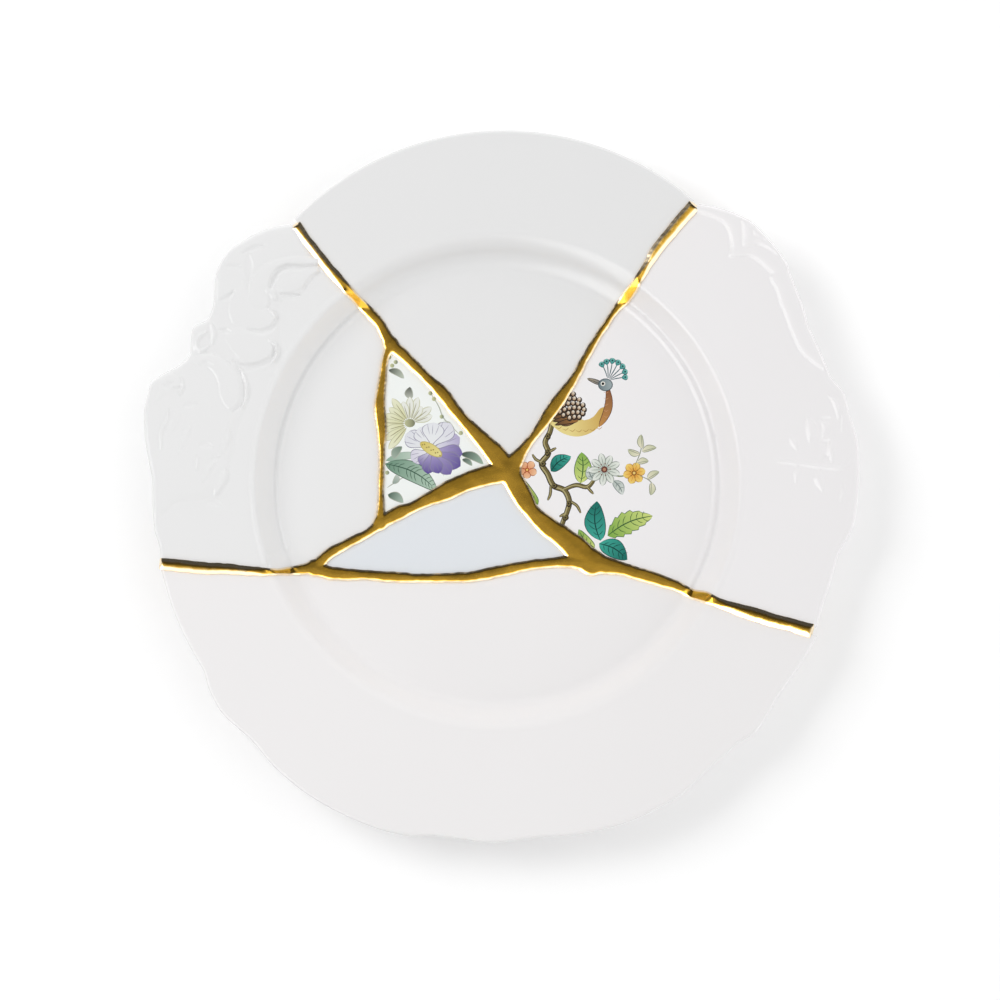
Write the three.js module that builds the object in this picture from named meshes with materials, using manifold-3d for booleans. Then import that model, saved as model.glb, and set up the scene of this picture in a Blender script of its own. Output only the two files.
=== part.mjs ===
// A dinner plate mended with gold. Six pieces of different porcelain plates meet along raised
// gold seams: a plain round one, a carved one, a scalloped one, one with a printed bird, and
// two triangles in the middle of the well.
// Millimetres. X runs to the right and Y away across the plate as it lies, and Z is up.
// Points across the plate are in hundredths of RIM_RADIUS, from the middle of the well.
import * as THREE from 'three';
import { mergeVertices } from 'three/addons/utils/BufferGeometryUtils.js';
import Module from 'manifold-3d';

const wasm = await Module();
wasm.setup();

// Plan
const RIM_RADIUS = 137.5;
const WELL_RADIUS = 85;
const CAVETTO_WIDTH = 10;
const FOOT_INSET = 2;
const FOOT_WIDTH = 4;

// Heights and walls
const FOOT_HEIGHT = 3;
const FLOOR_THICKNESS = 4;
const CAVETTO_RISE = 8.5;
const RIM_RISE = 5.5;
const RIM_THICKNESS = 3.6;
const LIP_DEPTH = 1.3;
const LIP_SHARE = 0.3;
const FOOT_DRAFT = 0.6;
const SOFT_SPREAD = 3;

// Gold and carving
const SEAM_WIDTH = 4;
const SEAM_HEIGHT = 1.1;
const SEAM_INSET = 0.2;
const JUNCTION_SWELL = 1.08;
const JOINT_GAP = 0.3;
const CARVING_HEIGHT = 1.6;
const TRIM_HEIGHT = 0.9;
const CARVING_ROOT = 0.6;

// How finely curves are cut into facets
const SECTOR_DEGREES = 5;
const CAVETTO_STEPS = 4;
const BACK_STEPS = 2;
const SEAM_STEP = 10;
const STROKE_STEP = 5.5;
const LEAST_STEPS = 4;
const LEAST_APART = 0.8;
const BOSS_SIDES = 10;
const SLIVER = 0.002;

// The channel that the gold runs in keeps its slope this far past the plate's faces, and is
// open for the clearance beyond
const OVERSHOOT = 0.5;
const CLEARANCE = 12;

const RIM_START = WELL_RADIUS + CAVETTO_WIDTH;
const FLOOR_TOP = FOOT_HEIGHT + FLOOR_THICKNESS;
const FOOT_RADIUS = WELL_RADIUS - FOOT_INSET;
const FOOT_INNER = FOOT_RADIUS - FOOT_WIDTH / 2;
const FOOT_OUTER = FOOT_RADIUS + FOOT_WIDTH / 2;

// How the gold's section is shared out: width of its flat top, and of its root under the plate
const PLATEAU_SHARE = 0.6;
const ROOT_SHARE = 0.45;
const JUNCTION_ROOT_SHARE = 0.85;
const JUNCTION_ENTRY_SHARE = 0.8;
const END_PINCH = 0.5;

// Where a rounded ridge turns over: share of its half width, and of its height
const SHOULDER = 0.7;
const SHOULDER_LIFT = 0.65;

// A carved line: its height as a share of the shard's carving height, and [x, y, half width]
const stroke = (lift, path) => ({ lift, path });

const LEFT_CARVING = [
  // Bead that follows the rim's edge
  stroke(0.5, [[-59, 70, 1], [-65.4, 68.7, 1.4], [-70.7, 65.9, 1.5], [-74.6, 62.6, 1.7],
    [-76.6, 58, 1.7], [-77.4, 52, 1.5], [-78, 47, 0.8]]),
  // Scroll that runs in from the seam and ends in a ball
  stroke(1, [[-51.9, 61.5, 1.1], [-57.5, 62.8, 1.8], [-62.8, 61.1, 2.1], [-65.6, 57.2, 2.1],
    [-66.8, 53, 1.7], [-65.6, 50, 1.4], [-63.2, 50, 1]]),
  // Leaf under the scroll
  stroke(0.6, [[-50, 58.3, 0.6], [-53.6, 56.7, 1.7], [-57.5, 54.7, 1.8], [-61, 53, 0.6]]),
  // Three lobes, each curling up at its lower right end
  stroke(0.9, [[-69, 56.4, 0.7], [-68.4, 52.5, 1.8], [-67, 49.4, 2.4], [-64.5, 48.8, 1.8],
    [-62.6, 50.5, 0.8]]),
  stroke(1, [[-74.9, 50.2, 0.7], [-73.8, 46.6, 2.1], [-70.4, 44.9, 2.7], [-66.5, 45.2, 2.4],
    [-64, 46.8, 1.4], [-62.8, 48.5, 0.7]]),
  stroke(1, [[-77.1, 41.8, 0.8], [-75.2, 38.1, 2.5], [-71.8, 35.9, 3.1], [-67.6, 35.6, 3.1],
    [-64.5, 37.3, 2], [-63.1, 39.6, 0.8]]),
  // Small curl in the step of the edge
  stroke(0.6, [[-84.7, 41.5, 0.7], [-81.9, 42.1, 1.1], [-80.2, 39.8, 1.3], [-80.8, 37.3, 1.1],
    [-83.3, 36.5, 0.8]]),
  // Great scroll of the lower motif, the swelling inside it and the curls beside the edge
  stroke(1, [[-87.8, 31.4, 0.8], [-85, 34.2, 1.4], [-81.1, 35.9, 2], [-76.9, 34.5, 2.1],
    [-73.8, 31.4, 2.1], [-72.4, 27.2, 2], [-72.4, 23.3, 1.5], [-74.3, 20.8, 1]]),
  stroke(0.5, [[-78, 30.3, 0.7], [-76.5, 26.9, 2], [-76.8, 23, 1.7], [-78, 19.6, 0.7]]),
  stroke(0.7, [[-86.7, 29.7, 0.7], [-90.6, 30.4, 1.4], [-94.2, 28.1, 1.7], [-96.4, 24.7, 1.7],
    [-96.9, 20.8, 1.1], [-96, 18, 0.7]]),
  stroke(0.5, [[-88.1, 28.4, 0.6], [-88.1, 26.2, 1], [-88.9, 23.8, 0.6]]),
  // Thin vein and the leaves that trail down the rim
  stroke(0.5, [[-91.2, 19.9, 0.6], [-92.6, 17.7, 0.8], [-93.7, 14.3, 0.8], [-94.2, 9.8, 0.4]]),
  stroke(0.5, [[-81.3, 24.1, 0.6], [-80.5, 20.8, 1.4], [-81.3, 17.4, 0.6]]),
  stroke(0.6, [[-75.7, 17.4, 0.6], [-74.6, 13.2, 1.5], [-76.6, 7.6, 0.7]]),
  stroke(0.4, [[-84.4, 10.7, 0.4], [-84.2, 7.3, 1.1], [-84.4, 3.9, 0.4]]),
  stroke(0.4, [[-78.8, 6.2, 0.6], [-81.1, 3.4, 1.4], [-83.3, 0, 0.6]]),
  stroke(0.6, [[-76, 3.9, 0.6], [-77.7, 0.6, 1.7], [-79.7, -2.8, 0.6]]),
];

const RIGHT_CARVING = [
  // Bead along the edge, then three steps that end square on the left
  stroke(0.7, [[59, 76, 0.7], [63.1, 74.9, 1], [67.6, 72.9, 1], [70.6, 70.9, 0.7]]),
  stroke(0.8, [[71, 69.3, 0.7], [74, 68.4, 0.8], [76, 67, 0.6]]),
  stroke(1, [[69, 67, 1.1], [73.5, 66.6, 1.2], [78, 64.3, 0.8]]),
  stroke(1, [[66.2, 63.9, 1.3], [71.5, 63.6, 1.3], [75.5, 61.6, 1.3], [79, 58.9, 0.8]]),
  // Broad raised border
  stroke(1, [[79, 56, 1.5], [81.9, 50.7, 2.6], [84.2, 45, 2.8], [86.7, 39.4, 2.8], [90, 33.2, 2]]),
  // Flower spray: stem, knot and leaves
  stroke(0.6, [[79.1, 5.9, 0.4], [85, 7.6, 0.7], [91.2, 8.1, 0.7], [97.9, 6.2, 0.8],
    [99.3, 2.2, 0.7], [98.7, -2.2, 0.4]]),
  stroke(0.7, [[93.1, 24.4, 0.4], [95.1, 23, 0.8], [95.9, 19.6, 1], [96.8, 15.1, 0.4]]),
  stroke(0.8, [[87.5, 18, 0.4], [88.1, 15.1, 1.4], [87.8, 11.8, 0.4]]),
  stroke(0.7, [[82.5, 12.6, 0.4], [83.3, 10.9, 1.1], [84.2, 9.3, 0.4]]),
  stroke(0.7, [[84.2, 5, 0.4], [84.2, 2.8, 1.1], [83.9, 0.3, 0.4]]),
  stroke(0.8, [[90.6, 3.9, 0.4], [90.3, 1.1, 1.5], [90.9, -2.2, 0.4]]),
  stroke(0.8, [[93.7, 12.3, 0.4], [94, 9.3, 1.4], [93.7, 5.9, 0.4]]),
  stroke(0.8, [[91.2, 17.4, 0.4], [93.1, 14.9, 1.4], [95.1, 12.6, 0.4]]),
  stroke(0.7, [[97.1, -0.3, 0.4], [97.1, -2.8, 1.3], [96.8, -5.6, 0.4]]),
];

// Each shard: a point inside it, how softly its well turns into its rim (0 crisp, 1 soft), its
// edge as [bearing in degrees, radius] or as a round arc, and its carving
const SHARDS = [
  {
    name: 'top_shard', inside: [0, 80], softness: 1, colour: 0xe3e4e6,
    arc: { centre: [2, 16.8], radius: 82 },
  },
  {
    name: 'left_shard', inside: [-80, -10], softness: 0, colour: 0xeaebe9,
    edge: [[128.7, 92.8], [132.5, 96.3], [136.2, 98.3], [139.5, 99.5], [142, 99], [144, 97.7],
      [148, 94], [150.3, 93.2], [153, 95.7], [157.6, 93.5], [159.6, 94.9], [162.4, 99.2],
      [164.3, 101.2], [168, 101.1], [172, 99.9], [176, 98.2], [180, 96.8], [188, 97.1],
      [190.6, 96.5], [194, 97]],
    carving: LEFT_CARVING, carvingHeight: CARVING_HEIGHT,
  },
  {
    name: 'bottom_shard', inside: [0, -80], softness: 0.6, colour: 0xeeedeb,
    edge: [[195, 97.4], [204, 97.8], [212, 97.8], [216, 99.7], [220, 100.7], [226, 99.9],
      [232, 101.4], [240, 102.5], [250, 102.8], [256, 102.3], [260, 100.7], [264, 100.6],
      [268, 101.1], [276, 100.3], [284, 101.5], [292, 102.1], [300, 101.8], [308, 99.7],
      [312, 99.6], [316, 100.7], [324, 99], [334, 99.6]],
  },
  {
    name: 'right_shard', inside: [80, -10], softness: 0, colour: 0xebeae9,
    edge: [[-24, 98.4], [-20, 97.6], [-13, 97.7], [-6.4, 100.8], [2, 101.6], [6, 101.8],
      [11.4, 100.7], [14.4, 100.5], [18, 98.1], [26, 97.7], [29.4, 98.8], [36, 101.2],
      [37.2, 102], [41, 102.4], [45, 102.4], [48, 101.1], [51, 99.1], [54, 96.6]],
    carving: RIGHT_CARVING, carvingHeight: TRIM_HEIGHT,
  },
  { name: 'floral_shard', inside: [-20, 12], softness: 1, colour: 0xedf2ef },
  { name: 'centre_shard', inside: [-8, -12], softness: 1, colour: 0xe1e6eb },
];

// The gold's junctions: [x, y, width as a share of SEAM_WIDTH]
const JUNCTION_A = [-30, 39, 1.5];
const JUNCTION_B = [-32.8, -11.3, 1.4];
const JUNCTION_C = [3.1, 3.4, 2.7];
const JUNCTION_D = [-51.6, -24.1, 1.6];
const JUNCTION_E = [26.6, -22.4, 2.6];

// A seam enters a junction a little narrower than the junction is
const into = ([x, y, width]) => [x, y, width * JUNCTION_ENTRY_SHARE];

// Each seam as [x, y, width as a share of SEAM_WIDTH], from a junction outwards. One that ends
// at the rim runs between two shards, whose mean softness it follows
const SEAMS = [
  { softness: 0.5, toRim: true, path: [into(JUNCTION_A), [-33.3, 44.9, 1.15], [-36, 48, 1.1],
    [-39.5, 51.6, 0.95], [-46.6, 59.5, 1], [-53.3, 67.9, 0.9], [-56.8, 72.6, 1.1]] },
  { softness: 1, path: [into(JUNCTION_A), [-25.7, 35.3, 1.3], [-18.9, 28.6, 1.25], [-15.5, 25.2, 1.55],
    [-10.3, 18.5, 1.4], [-3.9, 11.8, 1.65], [-0.8, 8.4, 2.1], into(JUNCTION_C)] },
  { softness: 1, path: [into(JUNCTION_A), [-31.4, 35.3, 0.85], [-32.4, 28.6, 0.95], [-33.1, 21.9, 1.4],
    [-32.6, 15.1, 1.2], [-32.5, 9, 0.85], [-32.8, -5, 0.85], into(JUNCTION_B)] },
  { softness: 1, path: [into(JUNCTION_B), [-27.8, -8.6, 1.55], [-23.8, -6.9, 1.2], [-19.9, -5, 1.4],
    [-14, -2.3, 1.85], [-8.1, 0.4, 1.9], [-3, 1.9, 2.1], into(JUNCTION_C)] },
  { softness: 1, path: [into(JUNCTION_B), [-35.6, -13.7, 0.95], [-43.5, -17.9, 1.1], [-47.4, -20.1, 1.05],
    into(JUNCTION_D)] },
  { softness: 0.3, toRim: true, path: [into(JUNCTION_D), [-61.2, -25.1, 0.85], [-69, -24.8, 0.9],
    [-74.9, -24.3, 1.05], [-82.8, -23.9, 1.15], [-90.6, -23.1, 1.15], [-94.8, -22.7, 1.05]] },
  { softness: 1, path: [into(JUNCTION_D), [-47.4, -25.4, 1.25], [-35.6, -26.2, 0.95], [-29.7, -26.6, 1.05],
    [-21.9, -26.9, 0.9], [-8.1, -26.6, 1.05], [-0.3, -25.2, 1.25], [7.6, -23.6, 1.1],
    [15.4, -22.6, 1], [21, -22.2, 1.3], into(JUNCTION_E)] },
  { softness: 1, path: [into(JUNCTION_C), [7.3, -4.2, 1.9], [10, -8.4, 1.85], [13.6, -11.8, 2],
    [19.4, -16, 2.2], [23.3, -19.6, 2.5], into(JUNCTION_E)] },
  { softness: 0.3, toRim: true, path: [into(JUNCTION_E), [31.1, -23.4, 1.75], [35.1, -24.3, 1.3],
    [42.9, -26.6, 1.25], [50.8, -29.2, 1], [54.7, -31.2, 1], [58.6, -32.2, 1.25],
    [62.6, -33.9, 1.05], [70.4, -36.4, 1.25], [78.3, -38.8, 1.5], [82.2, -39.8, 1.25],
    [88.8, -41.7, 1.35]] },
  { softness: 0.5, toRim: true, path: [into(JUNCTION_C), [9.3, 11.8, 1], [11.8, 15.1, 1.1],
    [16.5, 21.9, 1.6], [21.3, 28.6, 1.05], [26.9, 38.7, 0.75], [33.6, 48.8, 0.85],
    [36.5, 52.2, 1.1], [40.9, 58.9, 0.8], [45, 65.6, 1.05], [50.6, 72.4, 1.15],
    [55.6, 78.2, 1.2]] },
];

const FULL_TURN = 360;
const QUARTER_TURN = 90;
const share = (hundredths) => (hundredths * RIM_RADIUS) / 100;
const smooth = (t) => t * t * (3 - 2 * t);
const clamp = (x, low, high) => Math.min(high, Math.max(low, x));

// Height of the rim's face, a straight flare
const rimHeight = (r) =>
  FLOOR_TOP + CAVETTO_RISE + (RIM_RISE * (r - RIM_START)) / (RIM_RADIUS - RIM_START);

// Where the well's wall starts and ends, further out and in on a soft plate
const cavettoStart = (softness) => WELL_RADIUS - SOFT_SPREAD * softness;
const cavettoEnd = (softness) => RIM_START + SOFT_SPREAD * softness;

function topHeight(r, softness) {
  const start = cavettoStart(softness);
  const end = cavettoEnd(softness);
  if (r >= end) return rimHeight(r);
  const t = clamp((r - start) / (end - start), 0, 1);
  return FLOOR_TOP + (rimHeight(end) - FLOOR_TOP) * smooth(t);
}

// Underside outside the foot ring: it rises to the back of the rim, a wall's thickness below
const BACK_END = RIM_START + RIM_THICKNESS;
function backHeight(r) {
  if (r >= BACK_END) return rimHeight(r) - RIM_THICKNESS;
  const t = clamp((r - FOOT_OUTER) / (BACK_END - FOOT_OUTER), 0, 1);
  return FOOT_HEIGHT + (rimHeight(BACK_END) - RIM_THICKNESS - FOOT_HEIGHT) * smooth(t);
}

function undersideHeight(r) {
  if (r > FOOT_OUTER) return backHeight(r);
  return r < FOOT_INNER ? FOOT_HEIGHT : 0;
}

// Solid from a three.js geometry, with only positions left and shared vertices merged
function solidOf(geometry) {
  const bare = geometry.clone();
  bare.deleteAttribute('normal');
  bare.deleteAttribute('uv');
  const merged = mergeVertices(bare, 1e-4);
  return new wasm.Manifold(
    new wasm.Mesh({
      numProp: 3,
      vertProperties: new Float32Array(merged.attributes.position.array),
      triVerts: new Uint32Array(merged.index.array),
    }),
  );
}

function geometryOf(points, triangles) {
  const geometry = new THREE.BufferGeometry();
  geometry.setAttribute('position', new THREE.Float32BufferAttribute(points.flat(), 3));
  geometry.setIndex(triangles);
  return geometry;
}

const joined = (solids) => solids.reduce((sum, next) => sum.add(next));

// Radius of a shard's edge at a bearing: round a given arc, or smoothly through its edge points
function edgeRadius(shard, degrees) {
  if (shard.arc) {
    const [x, y] = shard.arc.centre.map(share);
    const angle = THREE.MathUtils.degToRad(degrees);
    const along = x * Math.cos(angle) + y * Math.sin(angle);
    const across = x * Math.sin(angle) - y * Math.cos(angle);
    return along + Math.sqrt(share(shard.arc.radius) ** 2 - across ** 2);
  }
  if (!shard.edge) return RIM_RADIUS;
  const edge = shard.edge;
  const turned = degrees < edge[0][0] - QUARTER_TURN ? degrees + FULL_TURN : degrees;
  const last = edge.length - 1;
  if (turned <= edge[0][0]) return share(edge[0][1]);
  if (turned >= edge[last][0]) return share(edge[last][1]);
  const next = edge.findIndex(([bearing]) => bearing > turned);
  const [fromBearing, from] = edge[next - 1];
  const [toBearing, to] = edge[next];
  return share(from + ((to - from) * (turned - fromBearing)) / (toBearing - fromBearing));
}

// The bearings at which a plate's body is divided: even steps, and a shard's own edge points
function bearingsOf(shard) {
  const own = (shard.edge ?? []).map(([bearing]) => (bearing + FULL_TURN) % FULL_TURN);
  const kept = [...own];
  for (let even = 0; even < FULL_TURN; even += SECTOR_DEGREES) {
    if (!own.some((bearing) => Math.abs(bearing - even) < SECTOR_DEGREES / 3)) kept.push(even);
  }
  return kept.sort((a, b) => a - b);
}

// A whole plate with one shard's edge and softness, as rings of points at each bearing
function plateBody(shard) {
  const start = cavettoStart(shard.softness);
  const end = cavettoEnd(shard.softness);
  const profileAt = (edge) => {
    const lip = (inset, drop) => [edge - inset, rimHeight(edge - inset) - drop * RIM_THICKNESS];
    const profile = [];
    for (let i = 0; i <= CAVETTO_STEPS; i += 1) {
      const r = start + ((end - start) * i) / CAVETTO_STEPS;
      profile.push([r, topHeight(r, shard.softness)]);
    }
    const middle = (end + edge - LIP_DEPTH) / 2;
    profile.push([middle, rimHeight(middle)]);
    profile.push(lip(LIP_DEPTH, 0), lip(0, LIP_SHARE), lip(0, 1 - LIP_SHARE), lip(LIP_DEPTH, 1));
    for (let i = BACK_STEPS; i >= 0; i -= 1) {
      const r = FOOT_OUTER + ((BACK_END - FOOT_OUTER) * i) / BACK_STEPS;
      profile.push([r, backHeight(r)]);
    }
    profile.push([FOOT_OUTER - FOOT_DRAFT, 0], [FOOT_INNER + FOOT_DRAFT, 0]);
    profile.push([FOOT_INNER, FOOT_HEIGHT]);
    return profile;
  };
  const bearings = bearingsOf(shard);
  const points = [[0, 0, FLOOR_TOP], [0, 0, FOOT_HEIGHT]];
  for (const bearing of bearings) {
    const angle = THREE.MathUtils.degToRad(bearing);
    for (const [r, z] of profileAt(edgeRadius(shard, bearing))) {
      points.push([r * Math.cos(angle), r * Math.sin(angle), z]);
    }
  }
  const count = (points.length - 2) / bearings.length;
  const triangles = [];
  for (let i = 0; i < bearings.length; i += 1) {
    const here = 2 + i * count;
    const there = 2 + ((i + 1) % bearings.length) * count;
    triangles.push(0, here, there);
    triangles.push(1, there + count - 1, here + count - 1);
    for (let j = 0; j < count - 1; j += 1) {
      triangles.push(here + j, here + j + 1, there + j + 1);
      triangles.push(here + j, there + j + 1, there + j);
    }
  }
  return solidOf(geometryOf(points, triangles));
}

// Stations along a line of [x, y, width] points in hundredths: place, left-hand direction,
// width and distance run. Extra ones stand where the line crosses one of the given radii
function stationsAlong(path, step, crossings = []) {
  const controls = path.map(([x, y, width]) => new THREE.Vector3(share(x), share(y), width));
  const curve = new THREE.CatmullRomCurve3(controls, false, 'centripetal');
  const length = curve.getLength();
  const count = Math.max(LEAST_STEPS, Math.round(length / step));
  const places = Array.from({ length: count + 1 }, (_, i) => i / count);
  const radiusAt = (u) => Math.hypot(curve.getPointAt(u).x, curve.getPointAt(u).y);
  const fine = Math.ceil(length);
  for (let i = 0; i < fine; i += 1) {
    const before = radiusAt(i / fine);
    const after = radiusAt((i + 1) / fine);
    for (const radius of crossings) {
      if ((before - radius) * (after - radius) >= 0) continue;
      places.push((i + (radius - before) / (after - before)) / fine);
    }
  }
  places.sort((a, b) => a - b);
  const apart = LEAST_APART / length;
  const spaced = (u, i) => u - places[i - 1] > apart && 1 - u > apart;
  return places.filter((u, i) => i === 0 || u === 1 || spaced(u, i)).map((u) => {
    const { x, y, z: width } = curve.getPointAt(u);
    const along = curve.getTangentAt(u);
    const norm = Math.hypot(along.x, along.y);
    return { x, y, width, left: [-along.y / norm, along.x / norm], run: u * length, length };
  });
}

// The station past either end of a line, in its direction there
function beyond(station, distance) {
  const [leftX, leftY] = station.left;
  return { ...station, x: station.x + leftY * distance, y: station.y - leftX * distance };
}

// Stations of a seam. At a junction it runs on past the middle, into the gold of the others
function seamStations({ softness, toRim, path }) {
  const stations = stationsAlong(path, SEAM_STEP, bends(softness));
  const runOn = (station, way) => {
    const reach = (way * station.width * SEAM_WIDTH) / 4;
    return { ...beyond(station, reach), width: station.width / 2 };
  };
  const last = stations[stations.length - 1];
  stations.unshift(runOn(stations[0], -1));
  if (!toRim) stations.push(runOn(last, 1));
  return stations;
}

// Solid swept along stations: sectionAt gives each one's outline as [offset to the left, z]
// pairs, anticlockwise when seen against the way the line runs
function swept(stations, sectionAt) {
  const points = [];
  let sides = 0;
  for (const station of stations) {
    const section = sectionAt(station);
    sides = section.length;
    for (const [offset, z] of section) {
      points.push([station.x + offset * station.left[0], station.y + offset * station.left[1], z]);
    }
  }
  const triangles = [];
  for (let i = 0; i < stations.length - 1; i += 1) {
    for (let j = 0; j < sides; j += 1) {
      const next = (j + 1) % sides;
      const here = i * sides;
      const there = here + sides;
      triangles.push(here + j, here + next, there + next, here + j, there + next, there + j);
    }
  }
  const end = (stations.length - 1) * sides;
  for (let j = 1; j < sides - 1; j += 1) {
    triangles.push(0, j + 1, j, end, end + j, end + j + 1);
  }
  return solidOf(geometryOf(points, triangles));
}

const radiusFrom = (station, offset) =>
  Math.hypot(station.x + offset * station.left[0], station.y + offset * station.left[1]);

// Carved ridge, rooted in the rim and tapering with its width: rounded on a scroll, and with
// one sharp rib on a leaf, which is a line of three points
function ridge({ lift, path }, height, softness) {
  const leaf = path.length === 3;
  const widest = share(Math.max(...path.map(([, , halfWidth]) => halfWidth)));
  return swept(stationsAlong(path, STROKE_STEP), (station) => {
    const half = share(station.width);
    const crest = lift * height * Math.sqrt(half / widest);
    const at = (side, up) => {
      const offset = side * half;
      return [offset, topHeight(radiusFrom(station, offset), softness) + up];
    };
    const root = [at(-1, -CARVING_ROOT), at(1, -CARVING_ROOT)];
    if (leaf) return [...root, at(0, crest)];
    const shoulder = (side) => at(side * SHOULDER, SHOULDER_LIFT * crest);
    return [...root, shoulder(1), at(0, crest), shoulder(-1)];
  });
}

// Radii where the plate's faces bend, at which a seam that crosses them gets stations
const bends = (softness) => {
  const start = cavettoStart(softness);
  const end = cavettoEnd(softness);
  return [FOOT_INNER, FOOT_OUTER, start, (start * 2 + end) / 3, (start + end * 2) / 3, end];
};

// Gold of one seam: a flat-topped mound over the glaze, narrowing down through the joint. At
// the rim its end rounds over with the lip
function seamGold(seam) {
  const { softness, toRim } = seam;
  return swept(seamStations(seam), (station) => {
    const half = (station.width * SEAM_WIDTH) / 2;
    const toEnd = (station.length - station.run) / LIP_DEPTH;
    const pinch = toRim ? END_PINCH * clamp(1 - toEnd, 0, 1) : 0;
    const at = (offset, up) => {
      const r = radiusFrom(station, offset);
      const top = topHeight(r, softness);
      const bottom = undersideHeight(r) + SEAM_INSET;
      const z = up < 0 ? bottom : top + up;
      return [offset, z + ((top + bottom) / 2 - z) * pinch];
    };
    return [at(-half * ROOT_SHARE, -1), at(half * ROOT_SHARE, -1), at(half, 0),
      at(half * PLATEAU_SHARE, SEAM_HEIGHT), at(-half * PLATEAU_SHARE, SEAM_HEIGHT), at(-half, 0)];
  });
}

// The right-hand side of a channel, from below up, as [offset, z] pairs. The plate's faces
// stand at the given heights, and the gold has the given half width and share of it at its root
function channelSide(half, rootShare, bottom, top) {
  const root = half * rootShare + JOINT_GAP;
  const brim = half + JOINT_GAP;
  const past = ((brim - root) * OVERSHOOT) / (top - bottom);
  return [[root - past, -CLEARANCE], [root - past, bottom - OVERSHOOT],
    [brim + past, top + OVERSHOOT], [brim + past, top + CLEARANCE]];
}

// The channel that a seam's gold lies in: the gold's own flanks, a gap wider, and open above,
// below and past the rim
function seamChannel(seam) {
  const stations = seamStations(seam);
  if (seam.toRim) stations.push(beyond(stations[stations.length - 1], CLEARANCE));
  return swept(stations, (station) => {
    const half = (station.width * SEAM_WIDTH) / 2;
    const side = (sign) => {
      const bottom = undersideHeight(radiusFrom(station, sign * half * ROOT_SHARE));
      const top = topHeight(radiusFrom(station, sign * half), seam.softness);
      return channelSide(half, ROOT_SHARE, bottom, top);
    };
    const mirrored = side(-1).map(([offset, z]) => [-offset, z]);
    return [...side(1), ...mirrored.reverse()];
  });
}

// Turned boss where seams meet, from a profile of [radius, z] pairs that starts and ends on
// the axis
function boss([x, y], profile) {
  const points = profile.map(([r, z]) => new THREE.Vector2(r, z));
  const turned = new THREE.LatheGeometry(points, BOSS_SIDES).rotateX(Math.PI / 2);
  return solidOf(turned.translate(share(x), share(y), 0));
}

function junctionGold(junction) {
  const radius = (junction[2] * SEAM_WIDTH) / 2;
  const bottom = FOOT_HEIGHT + SEAM_INSET / JUNCTION_SWELL;
  const top = FLOOR_TOP + SEAM_HEIGHT * JUNCTION_SWELL;
  return boss(junction, [[0, bottom], [radius * JUNCTION_ROOT_SHARE, bottom], [radius, FLOOR_TOP],
    [radius * PLATEAU_SHARE, top], [0, top]]);
}

function junctionChannel(junction) {
  const radius = (junction[2] * SEAM_WIDTH) / 2;
  const side = channelSide(radius, JUNCTION_ROOT_SHARE, FOOT_HEIGHT, FLOOR_TOP);
  return boss(junction, [[0, -CLEARANCE], ...side, [0, FLOOR_TOP + CLEARANCE]]);
}

// One shard: the plate with its edge and carving, cut along the channels, and of the pieces
// the one that holds the shard's inside point
function shardSolid(shard, channels) {
  const ridges = (shard.carving ?? []).map((line) => ridge(line, shard.carvingHeight, shard.softness));
  const pieces = joined([plateBody(shard), ...ridges]).subtract(channels).decompose();
  const [x, y] = shard.inside.map(share);
  const probe = solidOf(new THREE.BoxGeometry(1, 1, 4 * CLEARANCE).translate(x, y, 0));
  return pieces.find((piece) => !piece.intersect(probe).isEmpty());
}

// The triangles of a solid, with the slivers that cuts leave closed up
function facets(solid) {
  const { vertProperties, triVerts } = solid.getMesh();
  const cut = new THREE.BufferGeometry();
  cut.setAttribute('position', new THREE.Float32BufferAttribute(vertProperties, 3));
  cut.setIndex([...triVerts]);
  const merged = mergeVertices(cut, SLIVER);
  const index = merged.index.array;
  const sheets = new Map();
  for (let i = 0; i < index.length; i += 3) {
    const corners = [...index.slice(i, i + 3)];
    if (new Set(corners).size < 3) continue;
    // Two triangles back to back, on the same three corners, are a closed-up sliver too
    const key = [...corners].sort((a, b) => a - b).join();
    if (!sheets.delete(key)) sheets.set(key, corners);
  }
  merged.setIndex([...sheets.values()].flat());
  return merged.toNonIndexed();
}

function partMesh(name, solid, material) {
  const geometry = facets(solid);
  geometry.computeVertexNormals();
  const mesh = new THREE.Mesh(geometry, material);
  mesh.name = name;
  return mesh;
}

const glaze = (color) => new THREE.MeshStandardMaterial({ color, roughness: 0.12, metalness: 0 });
const gold = new THREE.MeshStandardMaterial({ color: 0xc9973f, roughness: 0.22, metalness: 1 });

const JUNCTIONS = [JUNCTION_A, JUNCTION_B, JUNCTION_C, JUNCTION_D, JUNCTION_E];
const channels = joined([...SEAMS.map(seamChannel), ...JUNCTIONS.map(junctionChannel)]);
const goldwork = joined([...SEAMS.map(seamGold), ...JUNCTIONS.map(junctionGold)]);

const plate = new THREE.Group();
for (const shard of SHARDS) {
  plate.add(partMesh(shard.name, shardSolid(shard, channels), glaze(shard.colour)));
}
plate.add(partMesh('gold_seams', goldwork, gold));

// The origin is the middle of the plate's box, on the table
const centre = new THREE.Box3().setFromObject(plate).getCenter(new THREE.Vector3());
plate.position.set(-centre.x, -centre.y, 0);

export default plate;
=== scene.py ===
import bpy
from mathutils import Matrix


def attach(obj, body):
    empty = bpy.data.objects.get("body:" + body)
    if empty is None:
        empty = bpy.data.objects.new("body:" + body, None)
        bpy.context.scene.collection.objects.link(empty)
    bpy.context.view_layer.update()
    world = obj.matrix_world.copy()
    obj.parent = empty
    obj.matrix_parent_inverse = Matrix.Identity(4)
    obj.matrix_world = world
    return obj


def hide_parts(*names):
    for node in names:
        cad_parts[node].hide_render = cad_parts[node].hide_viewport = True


bl_info = {
    "name": "Mended plate",
    "version": (1, 0, 0),
    "blender": (4, 5, 0),
    "location": "3D View > Sidebar > Plate",
    "description": "Builds a dinner plate of six porcelain shards joined by raised gold seams",
    "category": "Add Mesh",
}

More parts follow.
